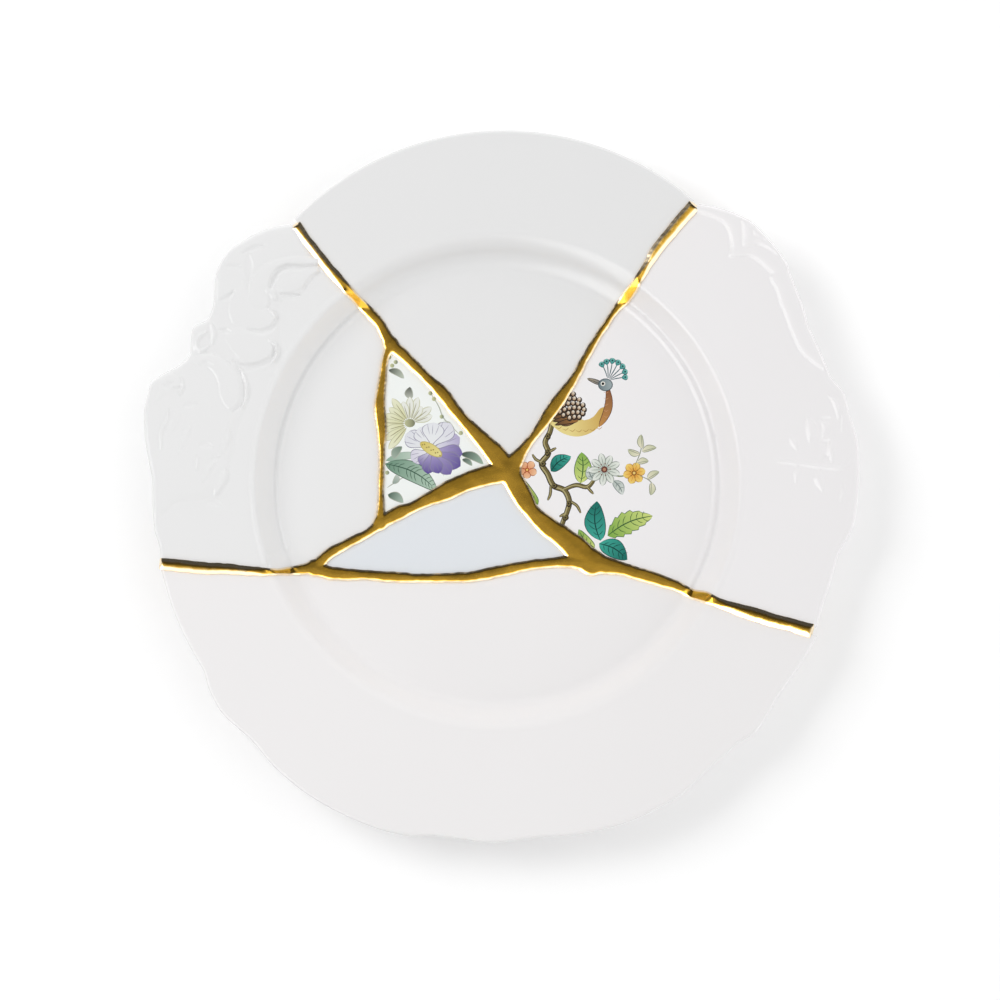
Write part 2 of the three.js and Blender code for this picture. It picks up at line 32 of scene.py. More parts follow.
import math

import bmesh
import bpy
import numpy as np
from mathutils import Vector, geometry

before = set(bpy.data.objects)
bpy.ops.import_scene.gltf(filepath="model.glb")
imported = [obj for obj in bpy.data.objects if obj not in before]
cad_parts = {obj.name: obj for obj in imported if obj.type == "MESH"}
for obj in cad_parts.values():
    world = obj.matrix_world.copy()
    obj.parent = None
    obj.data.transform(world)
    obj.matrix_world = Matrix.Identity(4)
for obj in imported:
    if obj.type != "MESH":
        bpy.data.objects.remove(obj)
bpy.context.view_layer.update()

MM = 0.001
FAR = 99.0

# Where the middle of the well lies in the plate's frame, in metres
WELL_MIDDLE = (-0.0017634, 0.0015557)

# Form of the porcelain, in millimetres where it isn't a share. A soft wall runs out past the well
# and the rim's start, and a crisp one stops short of them and has a bead at each end.
SOFT_SPREAD = 3.0
LEDGE = 1.0
CRISP_BEND = 0.16
THREAD_WIDTH = 1.1
THREAD_HEIGHT = 0.6
THREAD_INSET = 0.5
FOOT_INSET = 2.0
FOOT_HALF = 2.0
FOOT_ROUND = 0.7
LIP = 1.5

# Carving: how much of a lobe's height its sloping edge has, and how far its swell reaches in
LOBE_EDGE = 0.65
LOBE_SWELL = 4
CARVING_STEP = 1.0
CARVING_MARGIN = 8.0

# Gold: its seams widen into the junctions with a fillet, and run a little past the rim
SEAM_STEP = 1.2
ENTRY_SHARE = 0.8
SEAM_FILLET = 0.8
SEAM_MARGIN = 9.0
PAST_RIM = 9.0

# Gold: unevenness as (height, wave length, seed), of its edge as a share of EDGE_WOBBLE
EDGE_WOBBLE = 0.12
EDGE_WAVES = ((1.0, 7.0, 0.3), (0.4, 2.4, 1.9))
EDGE_CALM = 4.0
FACE_WAVES = ((0.04, 11.0, 1.1), (0.006, 3.6, 2.3))

# Gold: the sloping edge, narrow in the well and broad on the rim, and the face inside it
BEVEL = 0.7
RIM_BEVEL = 0.9
BEVEL_GROWTH = 8.0
BEVEL_ROUND = 0.3
EDGE_SHARE = 0.45
CROWN = 0.12
CROWN_SPREAD = 2.0
TUCK = 0.2
ROOT_SHARE = 0.1

# Gold: the part of its sloping edge that gets a painted highlight of pale cream, and how fast the
# painted highlight fades, as shares of its width
PAINTED_HIGHLIGHT_SHARE = 0.7
PAINTED_HIGHLIGHT_FADE = 0.3

# Finishes
# Pale cream painted on the gold's sloping edge: a painted highlight
PAINTED_HIGHLIGHT_GOLD = (0.96, 0.8, 0.56, 1)
BISCUIT_DARK = (0.52, 0.49, 0.44, 1)
BISCUIT_LIGHT = (0.76, 0.73, 0.68, 1)

# Joint that the gold fills: its width as a share of the seam's, and the gap beside it
CORE_SHARE = 0.5
CORE_GAP = 0.05

# Nets of triangles: the grid on which outlines are found, rings beside edges, and spacings
GRID_STEP = 0.4
GRID_REACH = 152.0
LIP_RINGS = (0.0, 0.03, 0.12, 0.28, 0.5, 0.8, 1.15, 1.5, 2.1)
GOLD_RINGS = (0.0, 0.04, 0.3, 0.5, 0.6, 0.7, 0.82, 1.1, 1.4)
FOOT_RINGS = (-2.6, -2, -1.8, -1.6, -1.4, -1.2, -0.6, 0.6, 1.2, 1.4, 1.6, 1.8, 2)
WELL_SPACING = 6.0
WALL_SPACING = 0.6
RIM_SPACING = 3.5
CARVING_SPACING = 0.5
GOLD_SPACING = 0.6
WELD = 2e-6
SHARD_CREASE = 42
GOLD_CREASE = 35

# Paint: width of the dark line round a petal, in hundredths of the rim's radius, and how much
# light the colours give back
RIM_LINE = 0.2
PAINT_DEPTH = 0.92

# The camera looks straight down, and sees this width at the rim's level, in metres
LENS = 200.0
SENSOR = 36.0
VIEW_WIDTH = 0.3857
VIEW_MIDDLE = (-0.0006, -0.0052)
VIEW_DEPTH = 20
RIM_LEVEL = 0.02

# Studio, in metres and watts
FLOOR_SIDE = 6.0
FLOOR_TONE = 0.95
FLOOR_GLOW = 0.12
KEY_PLACE = (-1.86, 1.07, 1.8)
KEY_SIDE = 1.6
KEY_POWER = 36

# Points across the plate are in hundredths of the rim's radius, from the middle of the well.
# Raised lobes: height as a share of the shard's carving height, width of the sloping edge in
# millimetres, and outline
LEFT_LOBES = [
    # Ground of the upper motif, rising from the edge
    (0.58, 3.4, [[-55.3, 75.7], [-65.9, 75.7], [-76.3, 69.3], [-82.5, 59.5], [-83.9, 49.6],
     [-87.5, 46], [-88.4, 38.4], [-84.4, 36.5], [-79.4, 35.3], [-75.5, 33.4], [-71, 31.4],
     [-65.9, 31.4], [-62, 33.7], [-60.9, 38.4], [-61.1, 44], [-60.6, 51.1], [-56.7, 52.2],
     [-53, 54.4], [-50.2, 58.3], [-50.2, 61.7], [-53, 65.6]]),
    # Broad end of the scroll
    (1.08, 1.4, [[-49.6, 63.1], [-55.3, 64], [-60.9, 63.4], [-65.4, 61.7], [-68.2, 59.2],
     [-69.8, 56.4], [-70.4, 53.3], [-70.1, 49.9], [-67.9, 47.7], [-64.8, 48.2], [-63.4, 50.2],
     [-63.7, 53.3], [-63.4, 56.1], [-62, 58.6], [-59.2, 60.3], [-55.3, 60.3], [-50.2, 60.9]]),
    # Leaf between the scroll and the seam
    (0.74, 1.3, [[-60.9, 58.1], [-55.3, 59.5], [-49.9, 60], [-51.6, 57.5], [-54.1, 54.7],
     [-56.9, 53.3], [-60.3, 53], [-62, 54.7]]),
    # Second lobe
    (0.9, 1.4, [[-70.4, 57.8], [-73.2, 55.5], [-74.9, 52.7], [-75.7, 49.9], [-75.7, 46.6],
     [-74.6, 44.3], [-72.1, 43.5], [-68.7, 42.4], [-65.4, 42.6], [-62.8, 44], [-62, 46.6],
     [-62.8, 48.8], [-66.5, 51.1], [-69.3, 53.9]]),
    # Third lobe
    (0.79, 1.4, [[-75.5, 44], [-77.4, 41.5], [-76.3, 38.7], [-74.3, 35.9], [-72.1, 33.9],
     [-68.7, 32.8], [-65.4, 33.7], [-63.1, 35.6], [-62.3, 38.1], [-63.1, 40.4], [-62.6, 42.6],
     [-65.9, 43.5], [-69.8, 44], [-73.2, 44.3]]),
    # Ground of the lower motif
    (0.48, 3.4, [[-83.3, 38.4], [-91.7, 36.5], [-101.5, 30.9], [-104.3, 23], [-103.5, 11.8],
     [-101.3, 0.6], [-99.6, -8.4], [-94.5, -9.5], [-90, -5.6], [-83.3, -4.8], [-78.8, -2.8],
     [-75.7, 2.8], [-74.1, 9], [-72.9, 16], [-71, 19.9], [-69.6, 25], [-70.1, 29.7],
     [-72.4, 33.1], [-77.1, 35.3]]),
    # Great scroll of the lower motif
    (0.84, 1.5, [[-86.7, 33.7], [-84.4, 35.9], [-81.1, 36.5], [-77.7, 35.6], [-74.9, 33.7],
     [-72.9, 31.4], [-71.8, 28.1], [-71.5, 24.7], [-72.4, 21.9], [-74.6, 19.9], [-76.9, 21.3],
     [-78.3, 24.1], [-78.8, 27.5], [-79.7, 30], [-81.6, 32], [-83.9, 32.5]]),
    # Curl beside the edge
    (0.67, 1.2, [[-94.5, 29.2], [-92.3, 30.9], [-89.5, 30.3], [-87.8, 28.1], [-88.4, 25.2],
     [-90.6, 24.7], [-93.4, 23.6], [-95.4, 21.9], [-96.2, 23.6], [-95.7, 26.4]]),
    # Leaves that trail down the rim
    (0.66, 1.2, [[-81.9, 24.1], [-80.2, 23], [-79.7, 20.2], [-80.5, 17.4], [-81.9, 17.4],
     [-82.5, 20.8]]),
    (0.7, 1.4, [[-74.1, 19.4], [-74.6, 16.3], [-74.3, 12.9], [-75.5, 9.5], [-77.1, 7],
     [-78.5, 8.4], [-77.7, 11.8], [-76.3, 15.1], [-75.7, 18]]),
    (0.67, 1.4, [[-76, 4.2], [-75.2, 2.2], [-76.6, -1.1], [-79.1, -3.9], [-79.9, -2.2],
     [-78.8, 1.1], [-77.7, 3.4]]),
]

# Carved lines: height, or depth where it is negative, as such a share, and [x, y, half width]
LEFT_STROKES = [
    # Ball, and the curled tips of the lobes
    (0.56, [[-64.2, 54.1, 1.02], [-63.1, 53, 1.45], [-62.3, 51.9, 0.87]]),
    (0.5, [[-64, 48.5, 0.36], [-62.6, 47.7, 0.65], [-62, 45.4, 0.36]]),
    (0.5, [[-64, 40.1, 0.36], [-62.3, 39, 0.65], [-61.7, 36.5, 0.65], [-62.8, 34.2, 0.36]]),
    # Small scroll in the step of the edge
    (0.44, [[-80.2, 44.6, 0.44], [-79.4, 42.1, 0.87], [-79.9, 39, 0.44]]),
    (0.5, [[-81.6, 42.1, 0.36], [-83.6, 41, 0.73], [-84.4, 38.7, 0.8], [-83, 37, 0.73],
     [-81.1, 38.1, 0.36]]),
    # Thin line outside the great scroll
    (0.38, [[-72.4, 32.3, 0.29], [-70.7, 28.9, 0.58], [-70.1, 25, 0.58], [-71.5, 21, 0.29]]),
    # Vein and small leaves
    (0.3, [[-92, 20.5, 0.29], [-92.6, 17.4, 0.65], [-94, 14.3, 0.65], [-94.2, 9.3, 0.29]]),
    (0.28, [[-84.2, 7.6, 0.29], [-84, 5.6, 0.65], [-84.2, 3.6, 0.29]]),
    (0.25, [[-79.1, 5.9, 0.36], [-81.1, 3.6, 1.02], [-82.5, 0.3, 0.36]]),
    (0.21, [[-86.1, 15.7, 0.36], [-87.5, 12.6, 1.09], [-89.2, 8.4, 0.36]]),
    (0.38, [[-88.4, 29.5, 0.29], [-88.1, 27.2, 0.65], [-88.9, 24.7, 0.29]]),
    (0.19, [[-90, 20.2, 0.36], [-89.8, 18, 1.02], [-90.9, 14.6, 0.36]]),
    # Grooves under and between the lobes
    (-0.5, [[-50.2, 61.1, 0.44], [-55.3, 60.4, 0.95], [-59.2, 60.3, 1.09], [-61.7, 58.9, 1.09],
     [-62.8, 56.7, 1.09], [-63.4, 54.7, 0.44]]),
    (-0.38, [[-49.6, 59.2, 0.36], [-52.5, 56.9, 0.95], [-54.4, 54.1, 0.44]]),
    (-0.38, [[-61.7, 46.3, 0.36], [-63.1, 43.5, 0.95], [-65.9, 42.2, 1.02],
     [-70.4, 42.9, 0.36]]),
    (-0.5, [[-62.8, 38.4, 0.29], [-62.6, 36.5, 0.73], [-64.2, 34.2, 1.09], [-68.2, 32.5, 1.16],
     [-71.5, 32.5, 1.09], [-74.1, 34.2, 0.36]]),
    (-0.38, [[-71.5, 64.2, 0.36], [-69, 65.4, 0.95], [-65.6, 66.5, 0.44]]),
    (-0.28, [[-76, 60.6, 0.36], [-74.1, 60.6, 0.73], [-71.8, 60.6, 0.36]]),
    (-0.28, [[-69.6, 64, 0.44], [-69.6, 60.6, 1.45], [-69.8, 56.4, 0.51]]),
    (-0.44, [[-77.4, 51.3, 0.44], [-75.7, 51.9, 1.02], [-73.8, 53.6, 0.44]]),
    (-0.38, [[-77.7, 42.9, 0.44], [-76.3, 42.6, 0.95], [-74.9, 42.4, 0.44]]),
    (-0.38, [[-60.9, 53, 0.29], [-58.1, 52.5, 0.73], [-55.3, 52.7, 0.29]]),
    (-0.35, [[-73.5, 32.8, 0.29], [-71.5, 29.7, 0.65], [-71, 25.8, 0.73], [-71.5, 22.4, 0.8],
     [-74.1, 19.9, 0.44]]),
    (-0.25, [[-83, 33.7, 0.44], [-81.6, 33.4, 1.02], [-79.9, 33.1, 0.44]]),
    (-0.31, [[-93.7, 26.9, 0.44], [-92.3, 27.2, 1.09], [-90.9, 28.1, 0.44]]),
    (-0.31, [[-90.9, 26.4, 0.29], [-89.2, 26.4, 0.73], [-88.6, 27.2, 0.29]]),
    (-0.25, [[-87.8, 21.3, 0.44], [-86.1, 21.9, 1.09], [-84.2, 22.2, 0.44]]),
    (-0.25, [[-83.6, 10.4, 0.44], [-81.9, 10.7, 1.16], [-79.9, 10.1, 0.44]]),
    (-0.28, [[-80.2, 6.7, 0.29], [-79.1, 7, 0.8], [-78, 7.3, 0.29]]),
    (-0.25, [[-81.3, -5.6, 0.44], [-79.4, -5.6, 1.31], [-77.4, -6.7, 0.44]]),
]

# Raised lobes, as on the left shard
RIGHT_LOBES = [
    # Border beside the seam, which steps up twice
    (0.8, 1.2, [[54.1, 81.9], [54.1, 76.6], [56.9, 75.5], [60.3, 74.3], [63.1, 72.9],
     [64.5, 71], [65.4, 68.4], [65.6, 65.9], [65.1, 63.4], [67.6, 63.1], [71.2, 63.1],
     [73.5, 61.7], [76, 59.5], [77.7, 58.1], [85, 58.9], [85, 70.7], [71, 81.9]]),
    (1.45, 1, [[68.4, 71.8], [68.6, 69], [68.7, 66.2], [73.5, 66.2], [76.6, 64.8], [79.7, 63.1],
     [85, 63.4], [82.2, 71.8], [72.4, 77.7], [68.4, 75.7]]),
    (1.95, 1, [[71.2, 70.4], [71.5, 69], [73.8, 68.4], [77.1, 66.2], [82.2, 66.2], [79.4, 72.1],
     [73.8, 76.3]]),
    # Border along the edge
    (0.75, 1, [[96.2, 45.4], [89.2, 59.5], [82.2, 62.8], [76.6, 57.8], [78.3, 53.9],
     [79.4, 50.2], [80.8, 46.8], [82.2, 42.9], [84.2, 38.4], [85.8, 35.9], [88.1, 33.9],
     [91.2, 31.7], [96.2, 30.3], [101.8, 28.6]]),
]

# Carved lines, as on the left shard
RIGHT_STROKES = [
    # Flower spray: stem, knot and leaves
    (0.33, [[79.1, 5.9, 0.36], [85, 5.3, 0.58], [91.2, 4.5, 0.73], [97.6, 4.5, 0.65],
     [99.9, 8.4, 0.44]]),
    (0.52, [[93.1, 24.4, 0.29], [94.5, 23, 0.65], [95.4, 20.8, 0.73], [95.9, 18, 0.29]]),
    (0.59, [[87.2, 18, 0.36], [88.1, 14.9, 1.53], [87.8, 11.8, 0.44]]),
    (0.52, [[82.5, 12.3, 0.36], [83.3, 11.2, 1.02], [84.2, 9.5, 0.36]]),
    (0.52, [[84.2, 5, 0.29], [84.2, 2.8, 0.95], [83.9, 0.3, 0.36]]),
    (0.59, [[90.6, 3.6, 0.36], [90.3, 1.1, 1.53], [91.2, -2, 0.44]]),
    (0.59, [[93.7, 12.6, 0.29], [93.7, 9.5, 1.09], [94, 5.9, 0.36]]),
    (0.45, [[91.2, 17.1, 0.36], [92.3, 15.4, 1.09], [91.4, 12.9, 0.36]]),
    (0.45, [[97.1, 0, 0.29], [97.1, -2.5, 0.8], [96.5, -5.3, 0.29]]),
    (0.33, [[96.8, 20.2, 0.29], [97.1, 17.1, 0.51], [96.8, 14.3, 0.29]]),
    (-0.39, [[90, 17.7, 0.36], [92, 17.7, 0.73], [93.1, 18, 0.36]]),
    (-0.33, [[90, 11.5, 0.36], [92, 11.2, 0.95], [93.4, 11.5, 0.36]]),
    (-0.33, [[91.7, 7.9, 0.36], [92.6, 7.3, 0.73], [91.2, 6.5, 0.36]]),
]

# Each shard: a point inside it, how softly its well turns into its rim (0 crisp, 1 soft), its
# edge as [bearing in degrees, radius] or as a round arc, and the seams around it, the way round
# that keeps the shard on the left (a minus sign runs a seam back to its start)
SHARDS = {
    "top_shard": {
        "inside": (0, 80), "softness": 1.0, "arc": (2, 16.8, 82), "bearings": (54.6, 128),
        "around": ("C_NE", "rim", "-A_NW", "A_C"),
    },
    "left_shard": {
        "inside": (-80, -10), "softness": 0.0, "bearings": (128, 193.5),
        "edge": [
            (128.7, 92.8), (132.5, 96.3), (136.2, 98.3), (139.5, 99.5), (142, 99), (144, 97.7),
            (148, 94), (150.3, 93.2), (153, 95.7), (157.6, 93.5), (159.6, 94.9), (162.4, 99.2),
            (164.3, 101.2), (168, 101.1), (172, 99.9), (176, 98.2), (180, 96.8), (188, 97.1),
            (190.6, 96.5), (194, 97)],
        "around": ("A_NW", "rim", "-D_W", "-B_D", "-A_B"),
    },
    "bottom_shard": {
        "inside": (0, -80), "softness": 0.6, "bearings": (193.5, 334.8),
        "edge": [
            (195, 97.4), (204, 97.8), (212, 97.8), (216, 99.7), (220, 100.7), (226, 99.9),
            (232, 101.4), (240, 102.5), (250, 102.8), (256, 102.3), (260, 100.7), (264, 100.6),
            (268, 101.1), (276, 100.3), (284, 101.5), (292, 102.1), (300, 101.8), (308, 99.7),
            (312, 99.6), (316, 100.7), (324, 99), (334, 99.6)],
        "around": ("D_W", "rim", "-E_SE", "-D_E"),
    },
    "right_shard": {
        "inside": (80, -10), "softness": 0.0, "bearings": (-25.2, 54.6),
        "edge": [
            (-24, 98.4), (-20, 97.6), (-13, 97.7), (-6.4, 100.8), (2, 101.6), (6, 101.8),
            (11.4, 100.7), (14.4, 100.5), (18, 98.1), (26, 97.7), (29.4, 98.8), (36, 101.2),
            (37.2, 102), (41, 102.4), (45, 102.4), (48, 101.1), (51, 99.1), (54, 96.6)],
        "around": ("E_SE", "rim", "-C_NE", "C_E"),
    },
    "floral_shard": {"inside": (-20, 12), "softness": 1.0, "around": ("A_B", "B_C", "-A_C")},
    "centre_shard": {"inside": (-8, -12), "softness": 1.0,
                     "around": ("B_D", "D_E", "-C_E", "-B_C")},
}

# Where seams meet: x, y and width as a share of the seam width
JUNCTIONS = {
    "A": (-30, 39, 1.5),
    "B": (-32.8, -11.3, 1.4),
    "C": (3.1, 3.4, 2.5),
    "D": (-51.6, -24.1, 1.6),
    "E": (26.6, -22.4, 2.6),
}

# Each seam by the junctions at its ends, or the way it runs to the rim. The first pair is the
# softness of the shards on its left and right, and its points are [x, y, width share]
SEAMS = {
    "A_NW": ((0.0, 1.0), [
        (-33.3, 44.9, 0.98), (-36, 48, 1.04), (-39.5, 51.6, 0.9), (-46.6, 59.5, 0.97),
        (-53.3, 67.9, 0.9), (-56.8, 72.6, 1.1)]),
    "A_C": ((1.0, 1.0), [
        (-25.7, 35.3, 1.09), (-18.9, 28.6, 1), (-15.5, 25.2, 1.3), (-10.3, 18.5, 1.12),
        (-3.9, 11.8, 1.57), (-0.8, 8.4, 1.93)]),
    "A_B": ((1.0, 1.0), [
        (-31.4, 35.3, 0.68), (-32.4, 28.6, 0.81), (-33.1, 21.9, 1.09), (-32.6, 15.1, 0.98),
        (-32.5, 9, 0.66), (-32.8, -5, 0.66)]),
    "B_C": ((1.0, 1.0), [
        (-27.8, -8.6, 1.4), (-23.8, -6.9, 1.06), (-19.9, -5, 1.26), (-14, -2.3, 1.79),
        (-8.1, 0.4, 1.8), (-3, 1.9, 1.99)]),
    "B_D": ((1.0, 1.0), [
        (-35.6, -13.7, 0.82), (-43.5, -17.9, 0.95), (-47.4, -20.1, 1.01)]),
    "D_W": ((0.6, 0.0), [
        (-61.2, -25.1, 0.68), (-69, -24.8, 0.86), (-74.9, -24.3, 0.97), (-82.8, -23.9, 1.12),
        (-90.6, -23.1, 1.15), (-94.8, -22.7, 1.05)]),
    "D_E": ((1.0, 1.0), [
        (-47.4, -25.4, 1.31), (-35.6, -26.2, 0.95), (-29.7, -26.6, 1.05), (-21.9, -26.9, 0.85),
        (-8.1, -26.6, 1.01), (-0.3, -25.2, 1.12), (7.6, -23.6, 0.99), (15.4, -22.6, 0.98),
        (21, -22.2, 1.3)]),
    "C_E": ((1.0, 1.0), [
        (7.3, -4.2, 1.9), (10, -8.4, 1.55), (13.6, -11.8, 1.86), (19.4, -16, 2.09),
        (23.3, -19.6, 2.5)]),
    "E_SE": ((0.0, 0.6), [
        (31.1, -23.4, 1.7), (35.1, -24.3, 1.3), (42.9, -26.6, 1.25), (50.8, -29.2, 1),
        (54.7, -31.2, 0.9), (58.6, -32.2, 1.12), (62.6, -33.9, 0.89), (70.4, -36.4, 1.25),
        (78.3, -38.8, 1.26), (82.2, -39.8, 1.21), (88.8, -41.7, 1.35)]),
    "C_NE": ((1.0, 0.0), [
        (9.3, 11.8, 0.78), (11.8, 15.1, 0.92), (16.5, 21.9, 1.25), (21.3, 28.6, 0.86),
        (26.9, 38.7, 0.69), (33.6, 48.8, 0.68), (36.5, 52.2, 1.03), (40.9, 58.9, 0.78),
        (45, 65.6, 1.05), (50.6, 72.4, 1.15), (55.6, 78.2, 1.2)]),
}


class PlateSizes(bpy.types.PropertyGroup):
    """Sizes of the plate and its gold"""
    rim_radius: bpy.props.FloatProperty(
        name="Rim radius", description="Radius of the plate before its edge swings in and out",
        default=0.1375, min=0.05, unit="LENGTH")
    well_radius: bpy.props.FloatProperty(
        name="Well radius", description="Radius at which the well's wall starts",
        default=0.085, min=0.02, unit="LENGTH")
    wall_width: bpy.props.FloatProperty(
        name="Wall width", description="Width of the well's wall, seen from above",
        default=0.010, min=0.002, unit="LENGTH")
    wall_rise: bpy.props.FloatProperty(
        name="Wall rise", description="Height from the well to the start of the rim",
        default=0.0085, min=0.001, unit="LENGTH")
    rim_rise: bpy.props.FloatProperty(
        name="Rim rise", description="Height that the rim gains towards its edge",
        default=0.0055, min=0.0, unit="LENGTH")
    rim_thickness: bpy.props.FloatProperty(
        name="Rim thickness", description="Thickness of the porcelain in the rim",
        default=0.0036, min=0.001, unit="LENGTH")
    floor_thickness: bpy.props.FloatProperty(
        name="Floor thickness", description="Thickness of the porcelain in the well",
        default=0.004, min=0.001, unit="LENGTH")
    foot_height: bpy.props.FloatProperty(
        name="Foot height", description="Height of the foot ring", default=0.003, min=0.001,
        unit="LENGTH")
    seam_width: bpy.props.FloatProperty(
        name="Seam width", description="Usual width of the gold", default=0.004, min=0.001,
        unit="LENGTH")
    seam_height: bpy.props.FloatProperty(
        name="Seam height", description="How far the gold stands above the glaze",
        default=0.0011, min=0.0001, unit="LENGTH")
    carving_height: bpy.props.FloatProperty(
        name="Carving height", description="Height of the scrolls on the carved shard",
        default=0.0016, min=0.0, unit="LENGTH")
    trim_height: bpy.props.FloatProperty(
        name="Trim height", description="Height of the low carving on the printed shard",
        default=0.0009, min=0.0, unit="LENGTH")


def colour_property(name, description, default):
    return bpy.props.FloatVectorProperty(
        name=name, description=description, default=default, size=3, min=0.0, max=1.0,
        subtype="COLOR")


class PlateColours(bpy.types.PropertyGroup):
    """Colours of the glazes and the gold"""
    top_shard: colour_property(
        "Plain grey white", "Glaze of the plain round shard", (0.81, 0.81, 0.81))
    left_shard: colour_property(
        "Carved white", "Glaze of the carved shard", (0.83, 0.83, 0.83))
    bottom_shard: colour_property(
        "Warm white", "Glaze of the scalloped shard", (0.875, 0.86, 0.86))
    right_shard: colour_property(
        "Printed white", "Glaze of the shard with the bird", (0.88, 0.865, 0.87))
    floral_shard: colour_property(
        "Greenish white", "Glaze of the triangle with flowers", (0.89, 0.92, 0.90))
    centre_shard: colour_property(
        "Bluish white", "Glaze of the plain triangle", (0.77, 0.80, 0.835))
    gold: colour_property("Gold", "Colour of the seams", (0.90, 0.52, 0.065))


def smooth(t):
    return t * t * (3 - 2 * t)


def smooth_max(a, b, blend):
    """The greater of two values, rounded over where they are less than blend apart."""
    near = np.maximum(blend - np.abs(a - b), 0) / blend
    return np.maximum(a, b) + near * near * blend / 4


def waves(x, y, length, seed):
    """Soft unevenness from -1 to 1 with the given wave length."""
    total = np.zeros_like(x)
    for k in range(5):
        angle = 2.4 * k + seed
        turn = 2 * math.pi / (length * (0.7 + 0.17 * k))
        total += np.sin((x * math.cos(angle) + y * math.sin(angle)) * turn + 1.7 * k + 3 * seed)
    return total / 3


def all_waves(x, y, table):
    return sum(height * waves(x, y, length, seed) for height, length, seed in table)


def curve_through(points, step):
    """Points about step apart along a smooth curve through the given ones."""
    points = np.asarray(points, float)
    before = 2 * points[0] - points[1]
    after = 2 * points[-1] - points[-2]
    knots = np.vstack([before, points, after])
    found = [points[:1]]
    for i in range(1, len(knots) - 2):
        p0, p1, p2, p3 = knots[i - 1:i + 3]
        d0, d1, d2 = (math.sqrt(np.linalg.norm(q - p)) for p, q in ((p0, p1), (p1, p2), (p2, p3)))
        start = ((p1 - p0) / d0 - (p2 - p0) / (d0 + d1) + (p2 - p1) / d1) * d1
        end = ((p2 - p1) / d1 - (p3 - p1) / (d1 + d2) + (p3 - p2) / d2) * d1
        count = max(1, round(np.linalg.norm((p2 - p1)[:2]) / step))
        t = np.linspace(0, 1, count + 1)[1:, None]
        found.append(p1 * (2 * t**3 - 3 * t**2 + 1) + start * (t**3 - 2 * t**2 + t)
                     + p2 * (3 * t**2 - 2 * t**3) + end * (t**3 - t**2))
    return np.vstack(found)


def nearest_on(x, y, line):
    """For points near a line of [x, y, half width]: how far inside its edge they lie, the half
    width there and the offset to its left."""
    inside = np.full_like(x, -FAR)
    half_there = np.ones_like(x)
    offset = np.zeros_like(x)
    for (ax, ay, a_half), (bx, by, b_half) in zip(line, line[1:]):
        dx, dy = bx - ax, by - ay
        length = math.hypot(dx, dy)
        t = np.clip(((x - ax) * dx + (y - ay) * dy) / length**2, 0, 1)
        px, py = x - ax - t * dx, y - ay - t * dy
        half = a_half + t * (b_half - a_half)
        depth = half - np.hypot(px, py)
        nearer = depth > inside
        inside = np.where(nearer, depth, inside)
        half_there = np.where(nearer, half, half_there)
        offset = np.where(nearer, (dx * py - dy * px) / length, offset)
    return inside, half_there, offset


def near_box(x, y, line, margin):
    low = line[:, :2].min(0) - margin
    high = line[:, :2].max(0) + margin
    return (x > low[0]) & (x < high[0]) & (y > low[1]) & (y < high[1])


